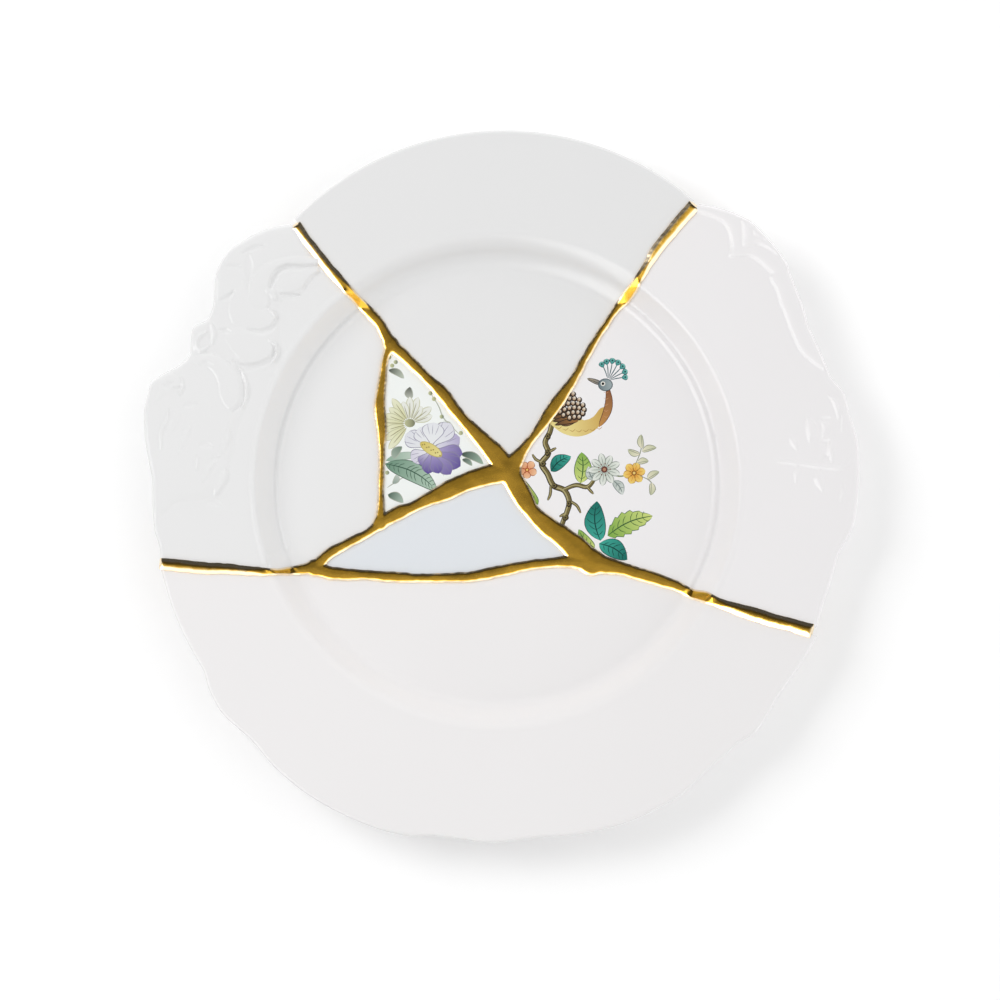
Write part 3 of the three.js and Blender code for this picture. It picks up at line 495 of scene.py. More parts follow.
class Plate:
    """Outlines and heights of the plate, in millimetres from the middle of the well."""

    def __init__(self, sizes):
        self.rim_radius = sizes.rim_radius / MM
        self.well_radius = sizes.well_radius / MM
        self.wall_rise = sizes.wall_rise / MM
        self.rim_rise = sizes.rim_rise / MM
        self.rim_thickness = sizes.rim_thickness / MM
        self.foot_height = sizes.foot_height / MM
        self.seam_width = sizes.seam_width / MM
        self.seam_height = sizes.seam_height / MM
        self.carvings = {
            "left_shard": (LEFT_LOBES, LEFT_STROKES, sizes.carving_height / MM),
            "right_shard": (RIGHT_LOBES, RIGHT_STROKES, sizes.trim_height / MM),
        }
        self.rim_start = self.well_radius + sizes.wall_width / MM
        self.floor_top = self.foot_height + sizes.floor_thickness / MM
        self.foot_radius = self.well_radius - FOOT_INSET
        self.seams = {name: self.seam_line(name) for name in SEAMS}

    def share(self, hundredths):
        return np.asarray(hundredths, float) * self.rim_radius / 100

    def seam_line(self, name):
        """A seam's points as x, y and half width, from junction to junction or to the rim."""
        start, end = name.split("_")
        points = [JUNCTIONS[start]] + SEAMS[name][1]
        if end in JUNCTIONS:
            points.append(JUNCTIONS[end])
        points = np.array(points, float)
        points[0, 2] *= ENTRY_SHARE
        if end in JUNCTIONS:
            points[-1, 2] *= ENTRY_SHARE
        points[:, :2] = self.share(points[:, :2])
        points[:, 2] *= self.seam_width / 2
        return curve_through(points, SEAM_STEP)

    def rim_height(self, r):
        flare = (r - self.rim_start) / (self.rim_radius - self.rim_start)
        return self.floor_top + self.wall_rise + self.rim_rise * flare

    def top(self, r, softness):
        """Height of the glaze: the well's floor, its wall and the rim's flare."""
        start = self.well_radius - SOFT_SPREAD * softness + LEDGE * (1 - softness)
        end = self.rim_start + SOFT_SPREAD * softness - LEDGE * (1 - softness)
        bend = CRISP_BEND + (0.5 - CRISP_BEND) * softness
        t = np.clip((r - start) / (end - start), 0, 1)
        rise = np.where(t < bend, t**2 / (2 * bend * (1 - bend)), (t - bend / 2) / (1 - bend))
        rise = np.where(t > 1 - bend, 1 - (1 - t)**2 / (2 * bend * (1 - bend)), rise)
        wall = self.floor_top + (self.rim_height(end) - self.floor_top) * rise
        thread = sum(np.exp(-((r - ring) / THREAD_WIDTH)**2)
                     for ring in (self.well_radius, self.rim_start - THREAD_INSET))
        thread = thread * THREAD_HEIGHT * np.clip(1 - 2 * softness, 0, 1)
        return np.where(r >= end, self.rim_height(r), wall) + thread

    def under(self, r):
        """Height of the underside: flat, down to the foot ring, and up to the rim's back."""
        back_end = self.rim_start + self.rim_thickness
        foot_outer = self.foot_radius + FOOT_HALF
        t = np.clip((r - foot_outer) / (back_end - foot_outer), 0, 1)
        back_top = self.rim_height(back_end) - self.rim_thickness
        back = self.foot_height + (back_top - self.foot_height) * smooth(t)
        back = np.where(r >= back_end, self.rim_height(r) - self.rim_thickness, back)
        base = np.where(r > self.foot_radius, back, self.foot_height)
        depth = (FOOT_HALF - np.abs(r - self.foot_radius)) / FOOT_ROUND
        return base * (1 - smooth(np.clip(depth, 0, 1)))

    def edge(self, name, degrees):
        """Radius of a shard's outer edge at bearings in degrees."""
        shard = SHARDS[name]
        if "arc" in shard:
            cx, cy, radius = self.share(shard["arc"])
            angle = np.radians(degrees)
            along = cx * np.cos(angle) + cy * np.sin(angle)
            across = cx * np.sin(angle) - cy * np.cos(angle)
            return along + np.sqrt(radius**2 - across**2)
        bearings, radii = np.array(shard["edge"], float).T
        return self.share(smooth_through(degrees, bearings, radii))

    def gap_to_edge(self, name, x, y):
        """Distance in from the shard's outer edge, and the radius of that edge."""
        if "bearings" not in SHARDS[name]:
            return np.full_like(x, FAR), np.full_like(x, self.rim_radius)
        low, high = SHARDS[name]["bearings"]
        middle = (low + high) / 2
        bearing = (np.degrees(np.arctan2(y, x)) - middle + 180) % 360 - 180 + middle
        edge = self.edge(name, bearing)
        return edge - np.hypot(x, y), edge

    def carving(self, name, x, y):
        """Height of the carved lobes and lines over the glaze, and how deep inside the closest
        of them a point lies."""
        lobe_height = np.zeros_like(x)
        ridge_height = np.zeros_like(x)
        groove_depth = np.zeros_like(x)
        reach = np.full_like(x, -FAR)
        lobes, strokes, scale = self.carvings.get(name, ((), (), 0))
        for lift, bevel, outline in lobes:
            loop = np.pad(self.share(outline + outline[:1]), ((0, 0), (0, 1)))
            loop = curve_through(loop, CARVING_STEP)
            near = near_box(x, y, loop, CARVING_MARGIN)
            if not near.any():
                continue
            spots = x[near], y[near]
            away = -nearest_on(*spots, loop)[0]
            depth = np.where(contains(loop[:, :2], *spots), away, -away)
            depth = np.minimum(depth, self.gap_to_edge(name, *spots)[0])
            steep = 1 - (1 - np.clip(depth / bevel, 0, 1))**2
            puffed = 1 - (1 - np.clip(depth / (LOBE_SWELL * bevel), 0, 1))**2
            height = lift * scale * (LOBE_EDGE * steep + (1 - LOBE_EDGE) * puffed)
            lobe_height[near] = np.maximum(lobe_height[near], height)
            reach[near] = np.maximum(reach[near], depth)
        for lift, path in strokes:
            line = curve_through(self.share(path), CARVING_STEP)
            near = near_box(x, y, line, CARVING_MARGIN)
            if not near.any():
                continue
            inside, half, _ = nearest_on(x[near], y[near], line)
            crest = abs(lift) * scale * np.sqrt(half / line[:, 2].max())
            ridge = crest * (1 - np.clip(1 - inside / half, 0, 1)**2)
            total = ridge_height if lift > 0 else groove_depth
            total[near] = np.maximum(total[near], ridge)
            reach[near] = np.maximum(reach[near], inside)
        return lobe_height + ridge_height - groove_depth, reach

    def shard_top(self, name, x, y):
        gap, edge = self.gap_to_edge(name, x, y)
        middle = self.rim_height(edge) - self.rim_thickness / 2
        face = self.top(np.hypot(x, y), SHARDS[name]["softness"]) + self.carving(name, x, y)[0]
        return middle + (face - middle) * rounding(gap)

    def shard_under(self, name, x, y):
        gap, edge = self.gap_to_edge(name, x, y)
        middle = self.rim_height(edge) - self.rim_thickness / 2
        return middle + (self.under(np.hypot(x, y)) - middle) * rounding(gap)

    def gold(self, x, y, share=1.0, past_rim=False):
        """How far inside the gold's edge points lie, the softness of the plate there, and the
        distance to the gold's end at the rim."""
        inside = np.full_like(x, -FAR)
        softness = np.ones_like(x)
        to_end = np.full_like(x, FAR)
        nearest = np.full_like(x, -FAR)
        for name, line in self.seams.items():
            line = line * (1, 1, share)
            to_rim = name.split("_")[1] not in JUNCTIONS
            direction = line[-1, :2] - line[-3, :2]
            direction /= np.linalg.norm(direction)
            end = line[-1, :2].copy()
            if to_rim:
                past = line[-1] + (*(direction * PAST_RIM), 0)
                line = np.vstack([line, past])
            near = near_box(x, y, line, SEAM_MARGIN)
            if not near.any():
                continue
            depth, half, offset = nearest_on(x[near], y[near], line)
            left, right = SEAMS[name][0]
            lean = np.clip(0.5 - 0.5 * offset / half, 0, 1)
            ahead = np.full_like(depth, FAR)
            if to_rim:
                ahead = (end[0] - x[near]) * direction[0] + (end[1] - y[near]) * direction[1]
            closer = depth > nearest[near]
            softness[near] = np.where(closer, left + (right - left) * lean, softness[near])
            to_end[near] = np.where(closer, ahead, to_end[near])
            nearest[near] = np.maximum(nearest[near], depth)
            if not past_rim:
                depth = np.minimum(depth, ahead)
            inside[near] = smooth_max(inside[near], depth, SEAM_FILLET)
        for jx, jy, width in JUNCTIONS.values():
            jx, jy = self.share(jx), self.share(jy)
            depth = width * self.seam_width / 2 * share - np.hypot(x - jx, y - jy)
            inside = smooth_max(inside, depth, SEAM_FILLET)
        if not past_rim:
            ragged = EDGE_WOBBLE * all_waves(x, y, EDGE_WAVES)
            inside = inside + ragged * np.clip(to_end / EDGE_CALM, 0, 1)
        return inside, softness, to_end

    def bevel_width(self, r):
        """Width of the gold's sloping edge: narrow in the well, broad on the rim."""
        return BEVEL + RIM_BEVEL * smooth(np.clip((r - self.rim_start) / BEVEL_GROWTH, 0, 1))

    def gold_heights(self, x, y):
        """The gold's upper face, its lower face where it lies on the glaze, and its root."""
        inside, softness, to_end = self.gold(x, y)
        r = np.hypot(x, y)
        glaze = self.top(r, softness)
        under = self.under(r)
        middle = (glaze + under) / 2
        bevel_width = self.bevel_width(r)
        bevel = np.clip(inside / bevel_width, 0, 1)
        chamfer = -smooth_max(-inside / bevel_width, np.full_like(x, -1.0), BEVEL_ROUND)
        mound = (EDGE_SHARE + (1 - EDGE_SHARE) * chamfer) * self.seam_height
        deep = 1 - np.exp(-np.maximum(inside - BEVEL, 0) / CROWN_SPREAD)
        upper = glaze + mound + CROWN * deep + all_waves(x, y, FACE_WAVES) * bevel
        fade = rounding(to_end)
        return (middle + (upper - middle) * fade, middle + (glaze - TUCK - middle) * fade,
                middle + (under - ROOT_SHARE * self.seam_height - middle) * fade)


def smooth_through(at, xs, ys):
    """Values of a smooth curve through points, without overshoot."""
    steps = np.diff(xs)
    slopes = np.diff(ys) / steps
    same_way = slopes[:-1] * slopes[1:] > 0
    mean = 2 * slopes[:-1] * slopes[1:] / np.where(same_way, slopes[:-1] + slopes[1:], 1)
    tangents = np.concatenate([[slopes[0]], np.where(same_way, mean, 0), [slopes[-1]]])
    at = np.clip(at, xs[0], xs[-1])
    i = np.clip(np.searchsorted(xs, at) - 1, 0, len(steps) - 1)
    t = (at - xs[i]) / steps[i]
    return (ys[i] * (1 + 2 * t) * (1 - t)**2 + ys[i + 1] * t * t * (3 - 2 * t)
            + steps[i] * t * (1 - t) * (tangents[i] * (1 - t) - tangents[i + 1] * t))


def rounding(gap):
    """Share of the half thickness that is left this far in from an edge with a round lip."""
    t = np.clip(gap / LIP, 0, 1)
    return np.sqrt(np.maximum(0, 1 - (1 - t)**2))


def contours(field, level):
    """Closed lines on which a field over the square grid has the given level."""
    above = field > level
    mixed = (above[:-1, :-1].astype(int) + above[1:, :-1] + above[1:, 1:] + above[:-1, 1:])
    links = {}

    def link(a, b):
        links.setdefault(a, []).append(b)
        links.setdefault(b, []).append(a)

    for i, j in np.argwhere((mixed > 0) & (mixed < 4)):
        i, j = int(i), int(j)
        a, b, c, d = above[i, j], above[i + 1, j], above[i + 1, j + 1], above[i, j + 1]
        bottom, right, top, left = (i, j, 0), (i + 1, j, 1), (i, j + 1, 0), (i, j, 1)
        cut = [side for side, crossed in (
            (bottom, a != b), (right, b != c), (top, c != d), (left, d != a)) if crossed]
        if len(cut) == 2:
            link(*cut)
        elif (field[i:i + 2, j:j + 2].mean() > level) == a:
            link(bottom, right)
            link(top, left)
        else:
            link(bottom, left)
            link(right, top)
    loops = []
    while links:
        first = here = next(iter(links))
        came = None
        keys = []
        while True:
            keys.append(here)
            options = links.pop(here)
            there = options[0] if options[0] != came else options[1]
            came, here = here, there
            if here == first:
                break
        i, j, way = np.array(keys).T
        low = field[i, j]
        high = field[i + (way == 0), j + (way == 1)]
        t = (level - low) / (high - low)
        x = i + t * (way == 0)
        y = j + t * (way == 1)
        loops.append(np.stack([x, y], 1) * GRID_STEP - GRID_REACH)
    return loops


def evened(loop, step):
    """A closed line with its points evenly spaced."""
    closed = np.vstack([loop, loop[:1]])
    run = np.concatenate([[0], np.cumsum(np.linalg.norm(np.diff(closed, axis=0), axis=1))])
    count = max(8, round(run[-1] / step))
    at = np.arange(count) / count * run[-1]
    return np.stack([np.interp(at, run, closed[:, k]) for k in (0, 1)], 1)


def sampled(function):
    """A function of x and y over the whole square grid."""
    side = np.arange(round(2 * GRID_REACH / GRID_STEP) + 1) * GRID_STEP - GRID_REACH
    x, y = np.meshgrid(side, side, indexing="ij")
    return function(x.ravel(), y.ravel()).reshape(x.shape)


def contains(polygon, x, y):
    """Which points lie in a polygon."""
    found = np.zeros(x.shape, bool)
    for (ax, ay), (bx, by) in zip(polygon, np.roll(polygon, -1, axis=0)):
        if ay == by:
            continue
        crosses = (ay > y) != (by > y)
        found ^= crosses & (x < (bx - ax) * (y - ay) / (by - ay) + ax)
    return found


def hex_grid(low, high, step):
    rows = np.arange(low[1], high[1], step * 0.866)
    columns = np.arange(low[0], high[0], step)
    x = columns[None, :] + (np.arange(len(rows)) % 2)[:, None] * step / 2
    y = np.repeat(rows[:, None], len(columns), 1)
    return x.ravel(), y.ravel()


def polar_grid(radii, bearings):
    r, angle = np.meshgrid(radii, np.radians(bearings), indexing="ij")
    return (r * np.cos(angle)).ravel(), (r * np.sin(angle)).ravel()


class Web:
    """Flat net of triangles between points, that keeps to given lines."""

    def __init__(self):
        self.points = []
        self.walls = []
        self.kinds = []
        self.shapes = []
        self.count = 0

    def add(self, points, wall=None, closed=False):
        points = np.asarray(points, float)
        first = self.count
        self.points.append(points)
        self.count += len(points)
        if wall:
            ids = list(range(first, self.count))
            self.add_walls(list(zip(ids, ids[1:] + ids[:1] if closed else ids[1:])), wall)
        return range(first, self.count)

    def add_walls(self, pairs, kind):
        self.walls += pairs
        self.kinds += [kind] * len(pairs)

    def add_shape(self, points):
        x, y = np.asarray(points, float).T
        if np.sum(x * np.roll(y, -1) - y * np.roll(x, -1)) < 0:
            points = points[::-1]
        self.shapes.append(list(self.add(points)))

    def join(self):
        """Points, triangles, the edges of each kind of wall and the shapes round each triangle."""
        spots = [Vector(p) for p in np.vstack(self.points).tolist()]
        found = geometry.delaunay_2d_cdt(spots, self.walls, self.shapes, 0, 1e-5, True)
        points, edges, triangles, _, edge_from, face_from = found
        walls = {kind: set() for kind in self.kinds}
        for edge, ids in zip(edges, edge_from):
            for i in ids:
                if i < len(self.walls):
                    walls[self.kinds[i]].add(tuple(sorted(edge)))
        points = np.array([tuple(p) for p in points])
        return points, triangles, walls, face_from


def reached(points, triangles, walls, seed):
    """Indices of the triangles that can be reached from a place without crossing a wall."""
    sides = {}
    for k, corners in enumerate(triangles):
        for a, b in zip(corners, corners[1:] + corners[:1]):
            sides.setdefault((a, b) if a < b else (b, a), []).append(k)
    middles = points[np.array(triangles)].mean(1)
    start = int(np.argmin(np.linalg.norm(middles - np.asarray(seed), axis=1)))
    kept = {start}
    todo = [start]
    while todo:
        corners = triangles[todo.pop()]
        for a, b in zip(corners, corners[1:] + corners[:1]):
            side = (a, b) if a < b else (b, a)
            if side in walls:
                continue
            for k in sides[side]:
                if k not in kept:
                    kept.add(k)
                    todo.append(k)
    return sorted(kept)


def open_sides(triangles):
    """Sides that only one triangle has, as it runs round them."""
    sides = {(a, b) for corners in triangles for a, b in zip(corners, corners[1:] + corners[:1])}
    return sorted((a, b) for a, b in sides if (b, a) not in sides)


class Body:
    """Corners and faces of a mesh that is put together from sheets."""

    def __init__(self):
        self.corners = []
        self.faces = []
        self.paint = []

    def sheet(self, points, heights, triangles, upwards, paint=None):
        """Adds a sheet over flat points, and gives the corner that stands for each of them."""
        used = sorted({i for corners in triangles for i in corners})
        places = dict(zip(used, range(len(self.corners), len(self.corners) + len(used))))
        for i in used:
            self.corners.append((points[i][0], points[i][1], heights[i]))
        for k, corners in enumerate(triangles):
            ids = [places[i] for i in corners]
            self.faces.append(ids if upwards else ids[::-1])
            self.paint.append(paint[k] if paint else None)
        return places

    def wall(self, sides, above, below):
        """Adds faces down from one sheet's open sides to another's."""
        for a, b in sides:
            self.faces.append([below[a], below[b], above[b], above[a]])
            self.paint.append(None)

    def make(self, name, crease):
        corners = np.array(self.corners) * MM + (*WELL_MIDDLE, 0)
        mesh = bpy.data.meshes.new(name)
        mesh.from_pydata(corners.tolist(), [], self.faces)
        if any(self.paint):
            layer = mesh.color_attributes.new("paint", "FLOAT_COLOR", "CORNER")
            colours = np.zeros((len(mesh.loops), 4), np.float32)
            painted = {}
            at = 0
            for face, paint in zip(self.faces, self.paint):
                if paint:
                    painted.setdefault(paint, []).extend(zip(range(at, at + len(face)), face))
                at += len(face)
            for paint, found in painted.items():
                loops, ids = np.array(found).T
                colours[loops, :3] = paint((corners[ids, :2] - WELL_MIDDLE) / MM)
                colours[loops, 3] = 1
            layer.data.foreach_set("color", colours.ravel())
        net = bmesh.new()
        net.from_mesh(mesh)
        bmesh.ops.remove_doubles(net, verts=net.verts, dist=WELD)
        bmesh.ops.dissolve_degenerate(net, edges=net.edges, dist=WELD)
        net.to_mesh(mesh)
        net.free()
        mesh.shade_smooth()
        mesh.set_sharp_from_angle(angle=math.radians(crease))
        piece = bpy.data.objects.new(name, mesh)
        bpy.context.scene.collection.objects.link(piece)
        return piece


def core_loops(plate):
    """Outlines of the joint that the gold fills between the shards, run on past the rim."""
    field = sampled(lambda x, y: plate.gold(x, y, CORE_SHARE, past_rim=True)[0])
    return [evened(loop, 0.7) for loop in contours(field, -CORE_GAP)]


def shard_region(plate, name):
    """Polygon along the middles of the seams round a shard and past its rim."""
    pieces = []
    for step in SHARDS[name]["around"]:
        if step == "rim":
            low, high = SHARDS[name]["bearings"]
            angle = np.radians(np.linspace(low, high, 60))
            far = plate.rim_radius * 1.2
            pieces.append(np.stack([far * np.cos(angle), far * np.sin(angle)], 1))
        elif step[0] == "-":
            pieces.append(plate.seams[step[1:]][::-1, :2])
        else:
            pieces.append(plate.seams[step][:, :2])
    return np.vstack(pieces)


class ShardNet:
    """Flat nets for the face and the underside of one shard, up to the middles of its joints."""

    def __init__(self, plate, name):
        self.plate = plate
        self.name = name
        self.region = shard_region(plate, name)
        self.softness = SHARDS[name]["softness"]
        self.inside = plate.share(SHARDS[name]["inside"])
        self.has_rim = "bearings" in SHARDS[name]
        self.first, self.last = SHARDS[name].get("bearings", (0, 360))
        self.bearings = np.arange(self.first - 4, self.last + 4, 1.2)

    def depth_in_joint(self, x, y):
        return self.plate.gold(x, y, CORE_SHARE, past_rim=True)[0]

    def free(self, x, y, clear, rim_clear=LIP + 1.0):
        """The points inside the shard that stay clear of the joints and of the edge."""
        inner = contains(self.region, x, y)
        x, y = x[inner], y[inner]
        free = self.depth_in_joint(x, y) < -CORE_GAP - clear
        free &= self.plate.gap_to_edge(self.name, x, y)[0] > rim_clear
        return np.stack([x[free], y[free]], 1)

    def edge_ring(self, bearings, gap):
        """Points this far in from the outer edge."""
        radius = self.plate.edge(self.name, bearings) - gap
        angle = np.radians(bearings)
        return radius * np.cos(angle), radius * np.sin(angle)

    def add_lip(self, web):
        fine = np.arange(self.first - 4, self.last + 4, 0.4)
        web.add(np.stack(self.edge_ring(fine, LIP_RINGS[0]), 1), wall="outline")
        for gap in LIP_RINGS[1:]:
            ring = np.stack(self.edge_ring(fine, gap), 1)
            web.add(ring[self.depth_in_joint(*ring.T) < -CORE_GAP - 0.2])

    def add_carving(self, web):
        """A fine net over the carved lobes and lines."""
        lobes, strokes, _ = self.plate.carvings[self.name]
        spans = self.plate.share([point[:2] for entry in lobes + strokes for point in entry[-1]])
        x, y = hex_grid(spans.min(0) - 2, spans.max(0) + 2, CARVING_SPACING)
        near = self.plate.carving(self.name, x, y)[1] > -0.9
        web.add(self.free(x[near], y[near], 0.35, LIP + 0.9))

    def face(self, joints, print_shapes):
        """Points and triangles of the glazed face, and the shapes painted on each triangle."""
        plate = self.plate
        web = Web()
        if self.has_rim:
            self.add_lip(web)
        for loop in joints:
            web.add(loop, wall="outline", closed=True)
        high = np.minimum(self.region.max(0), 90)
        web.add(self.free(*hex_grid(self.region.min(0), high, WELL_SPACING), 1.0))
        wall_start = plate.well_radius - SOFT_SPREAD * self.softness
        wall_end = plate.rim_start + SOFT_SPREAD * self.softness
        carved = self.name in plate.carvings
        for radii in (np.arange(wall_start - 2, wall_end + 2.4, WALL_SPACING),
                      np.arange(wall_end + 5, plate.rim_radius * 1.03, RIM_SPACING)):
            spots = self.free(*polar_grid(radii, self.bearings), 0.4)
            if carved:
                spots = spots[plate.carving(self.name, *spots.T)[1] < -0.9]
            web.add(spots)
        if carved:
            self.add_carving(web)
        for shape in print_shapes:
            web.add_shape(shape.outline)
        points, triangles, walls, shapes_at = web.join()
        kept = reached(points, triangles, walls["outline"], self.inside)
        return points, [triangles[k] for k in kept], [shapes_at[k] for k in kept]

    def underside(self, outline, sides):
        """Points and triangles of the underside, inside the outline of the face."""
        plate = self.plate
        web = Web()
        web.add(outline)
        web.add_walls(sides, "outline")
        back_end = plate.rim_start + plate.rim_thickness
        for radii in (plate.foot_radius + np.array(FOOT_RINGS),
                      np.arange(plate.foot_radius + 2.6, back_end + 1, 1.0),
                      np.arange(back_end + 4, plate.rim_radius * 1.03, 4)):
            web.add(self.free(*polar_grid(radii, self.bearings), 0.4, LIP_RINGS[-1] + 0.4))
        if self.has_rim:
            fine = np.arange(self.first, self.last, 0.5)
            for gap in LIP_RINGS[1:]:
                web.add(self.free(*self.edge_ring(fine, gap), 0.2, 0.01))
        points, triangles, walls, _ = web.join()
        kept = reached(points, triangles, walls["outline"], self.inside)
        return points, [triangles[k] for k in kept]


def make_shard(plate, name, joints, print_shapes=()):
    """One shard as a closed mesh: glazed face, rounded lip, underside with its foot, and the
    broken faces in the joints."""
    net = ShardNet(plate, name)
    points, face, shapes_at = net.face(joints, print_shapes)
    paint = [print_shapes[max(shapes)].colours if shapes else None for shapes in shapes_at]
    sides = open_sides(face)
    edge_ids = sorted({i for side in sides for i in side})
    place = {i: k for k, i in enumerate(edge_ids)}
    below, under = net.underside(points[edge_ids], [(place[a], place[b]) for a, b in sides])

    body = Body()
    upper = body.sheet(points, plate.shard_top(name, *points.T), face, True, paint)
    lower = body.sheet(below, plate.shard_under(name, *below.T), under, False)
    body.wall(sides, upper, {i: lower[place[i]] for i in edge_ids})
    return body.make(name + "_piece", SHARD_CREASE)


def make_gold(plate):
    """The gold as one closed mesh: a mound with a bevelled edge on the glaze, and the root that
    fills the joint down to the underside."""
    web = Web()
    field = sampled(lambda x, y: plate.gold(x, y)[0])
    for level in GOLD_RINGS:
        for loop in contours(field, level):
            web.add(evened(loop, 0.5), wall="" if level else "edge", closed=True)
    core = sampled(lambda x, y: plate.gold(x, y, CORE_SHARE)[0])
    for loop in contours(core, CORE_GAP):
        web.add(evened(loop, 0.6), wall="core", closed=True)
    x, y = hex_grid((-GRID_REACH, -GRID_REACH), (GRID_REACH, GRID_REACH), GOLD_SPACING)
    deep = plate.gold(x, y)[0] > GOLD_RINGS[-1] + 0.3
    web.add(np.stack([x[deep], y[deep]], 1))
    points, triangles, walls, _ = web.join()
    upper_height, tuck_height, root_height = plate.gold_heights(*points.T)
    seed = plate.share(JUNCTIONS["C"][:2])
    top_ids = reached(points, triangles, walls["edge"], seed)
    root_ids = reached(points, triangles, walls["core"], seed)
    brim_ids = sorted(set(top_ids) - set(root_ids))
    top, root, brim = ([triangles[k] for k in ids] for ids in (top_ids, root_ids, brim_ids))

    def painted_highlight(spots):
        """How strong the painted highlight on the gold is, from 1 at its edge to 0 inside the
        sloping edge.
        """
        depth = plate.gold(*spots.T)[0] / plate.bevel_width(np.hypot(*spots.T))
        return np.repeat(1 - smooth(np.clip((depth - PAINTED_HIGHLIGHT_SHARE) / PAINTED_HIGHLIGHT_FADE, 0, 1))[:, None], 3, 1)

    body = Body()
    # The gold's upper face carries the painted highlight along its sloping edge
    above = body.sheet(points, upper_height, top, True, [painted_highlight] * len(top))
    beside = body.sheet(points, tuck_height, brim, False)
    under = body.sheet(points, root_height, root, False)
    body.wall(open_sides(top), above, beside)
    body.wall(open_sides(root), beside, under)
    return body.make("gold_seams_piece", GOLD_CREASE)


def tint(code):
    """Linear colour from six hexadecimal digits."""
    values = np.array([int(code[i:i + 2], 16) for i in (0, 2, 4)]) / 255
    linear = np.where(values < 0.04045, values / 12.92, ((values + 0.055) / 1.055)**2.4)
    return linear * PAINT_DEPTH


class Shape:
    """A painted shape on the glaze: its outline in millimetres, and two colours that run into
    each other from one place to another."""

    def __init__(self, outline, first, second, start, end):
        self.outline = outline
        self.first = tint(first)
        self.second = tint(second)
        self.start = np.array(start, float)
        self.end = np.array(end, float)

    def colours(self, spots):
        along = self.end - self.start
        t = np.clip((spots - self.start) @ along / max(along @ along, 1e-9), 0, 1)[:, None]
        return self.first + (self.second - self.first) * t


class Print:
    """Shapes painted one over another. Places are in hundredths of the rim's radius."""

    def __init__(self, plate):
        self.plate = plate
        self.shapes = []

    def fill(self, outline, first, second=None, start=None, end=None):
        outline = self.plate.share(outline)
        start = outline[0] if start is None else self.plate.share(start)
        end = outline[len(outline) // 2] if end is None else self.plate.share(end)
        self.shapes.append(Shape(outline, first, second or first, start, end))

    def dot(self, place, radius, colour, second=None, sides=12, squash=1.0, turn=0.0):
        t = np.arange(sides) / sides * 2 * math.pi
        along, across = radius * np.cos(t), radius * squash * np.sin(t)
        cos, sin = math.cos(turn), math.sin(turn)
        self.fill(np.stack([place[0] + along * cos - across * sin,
                            place[1] + along * sin + across * cos], 1), colour, second)

    def line(self, points, width, colour, ends=(0.35, 0.35)):
        """A brush line that swells in its middle."""
        middle = curve_through(np.array([(*p, 0) for p in points], float), 0.7)[:, :2]
        ahead = np.gradient(middle, axis=0)
        ahead /= np.linalg.norm(ahead, axis=1)[:, None]
        left = np.stack([-ahead[:, 1], ahead[:, 0]], 1)
        t = np.linspace(0, 1, len(middle))
        lean = ends[0] + (ends[1] - ends[0]) * t
        half = (width / 2 * (lean + (1 - lean) * np.sin(math.pi * t)**0.6))[:, None]
        self.fill(np.vstack([middle + left * half, (middle - left * half)[::-1]]),
                  colour, colour, middle[0], middle[-1])

    def blade(self, base, tip, width, colours, rim, bend=0.0, teeth=0, full=0.45):
        """A petal or leaf from base to tip: a rim of darker colour, then its two tones. It is
        widest at the full share of its length."""
        base, tip = np.array(base, float), np.array(tip, float)
        along = tip - base
        left = np.array([-along[1], along[0]])
        t = np.linspace(0, 1, 15 if not teeth else teeth * 4 + 1)[:, None]
        spine = base + along * t + left * bend * np.sin(math.pi * t)
        peak = t ** (math.log(0.5) / math.log(full))
        half = width / 2 * np.sin(math.pi * peak)**0.8
        if teeth:
            half = half * (1 + 0.16 * ((t * teeth * 2) % 2 - 1))
        side = left / np.linalg.norm(left)
        for grow, (first, second) in ((RIM_LINE, (rim, rim)), (0, colours)):
            edge = np.maximum(half + grow * np.minimum(1, 8 * np.minimum(t, 1 - t)), 0)
            self.fill(np.vstack([spine + side * edge, (spine - side * edge)[-2:0:-1]]),
                      first, second, base, tip)
        return spine, half

    def leaf(self, base, tip, width, colours, vein, bend=0.1, teeth=0, ribs=4):
        """A leaf with a middle vein and pairs of ribs."""
        spine, half = self.blade(base, tip, width, colours, vein, bend, teeth)
        self.line(spine[::3], 0.32, vein)
        along = np.array(tip, float) - base
        along /= np.linalg.norm(along)
        across = np.array([-along[1], along[0]])
        for k in range(1, ribs + 1):
            i = int(len(spine) * k / (ribs + 1.6))
            reach = half[i, 0] * 0.78
            for side in (-1, 1):
                end = spine[i] + along * reach * 0.8 + across * side * reach
                middle = spine[i] + along * reach * 0.3 + across * side * reach * 0.55
                self.line([spine[i], middle, end], 0.2, vein)

    def flower(self, place, radius, petals, colours, rim, heart, width, turn, streak=None):
        """Petals round a heart of dots, which are given as (share of the radius, colour)."""
        x, y = place
        for k in range(petals):
            angle = turn + 2 * math.pi * k / petals
            long = radius * (1 + 0.1 * math.sin(3.1 * k + turn))
            way = np.array([math.cos(angle), math.sin(angle)])
            base = np.array([x, y]) + way * radius * 0.1
            tip = np.array([x, y]) + way * long
            self.blade(base, tip, radius * width, colours, rim, full=0.6)
            if streak:
                self.line([base, base + (tip - base) * 0.4, base + (tip - base) * 0.75], 0.2,
                          streak)
        for size, colour in heart:
            self.dot((x, y), radius * size, colour)
        for k in range(petals):
            angle = turn + 2 * math.pi * (k + 0.5) / petals
            reach = radius * 0.36
            self.dot((x + reach * math.cos(angle), y + reach * math.sin(angle)), 0.22,
                     heart[0][1], sides=6)


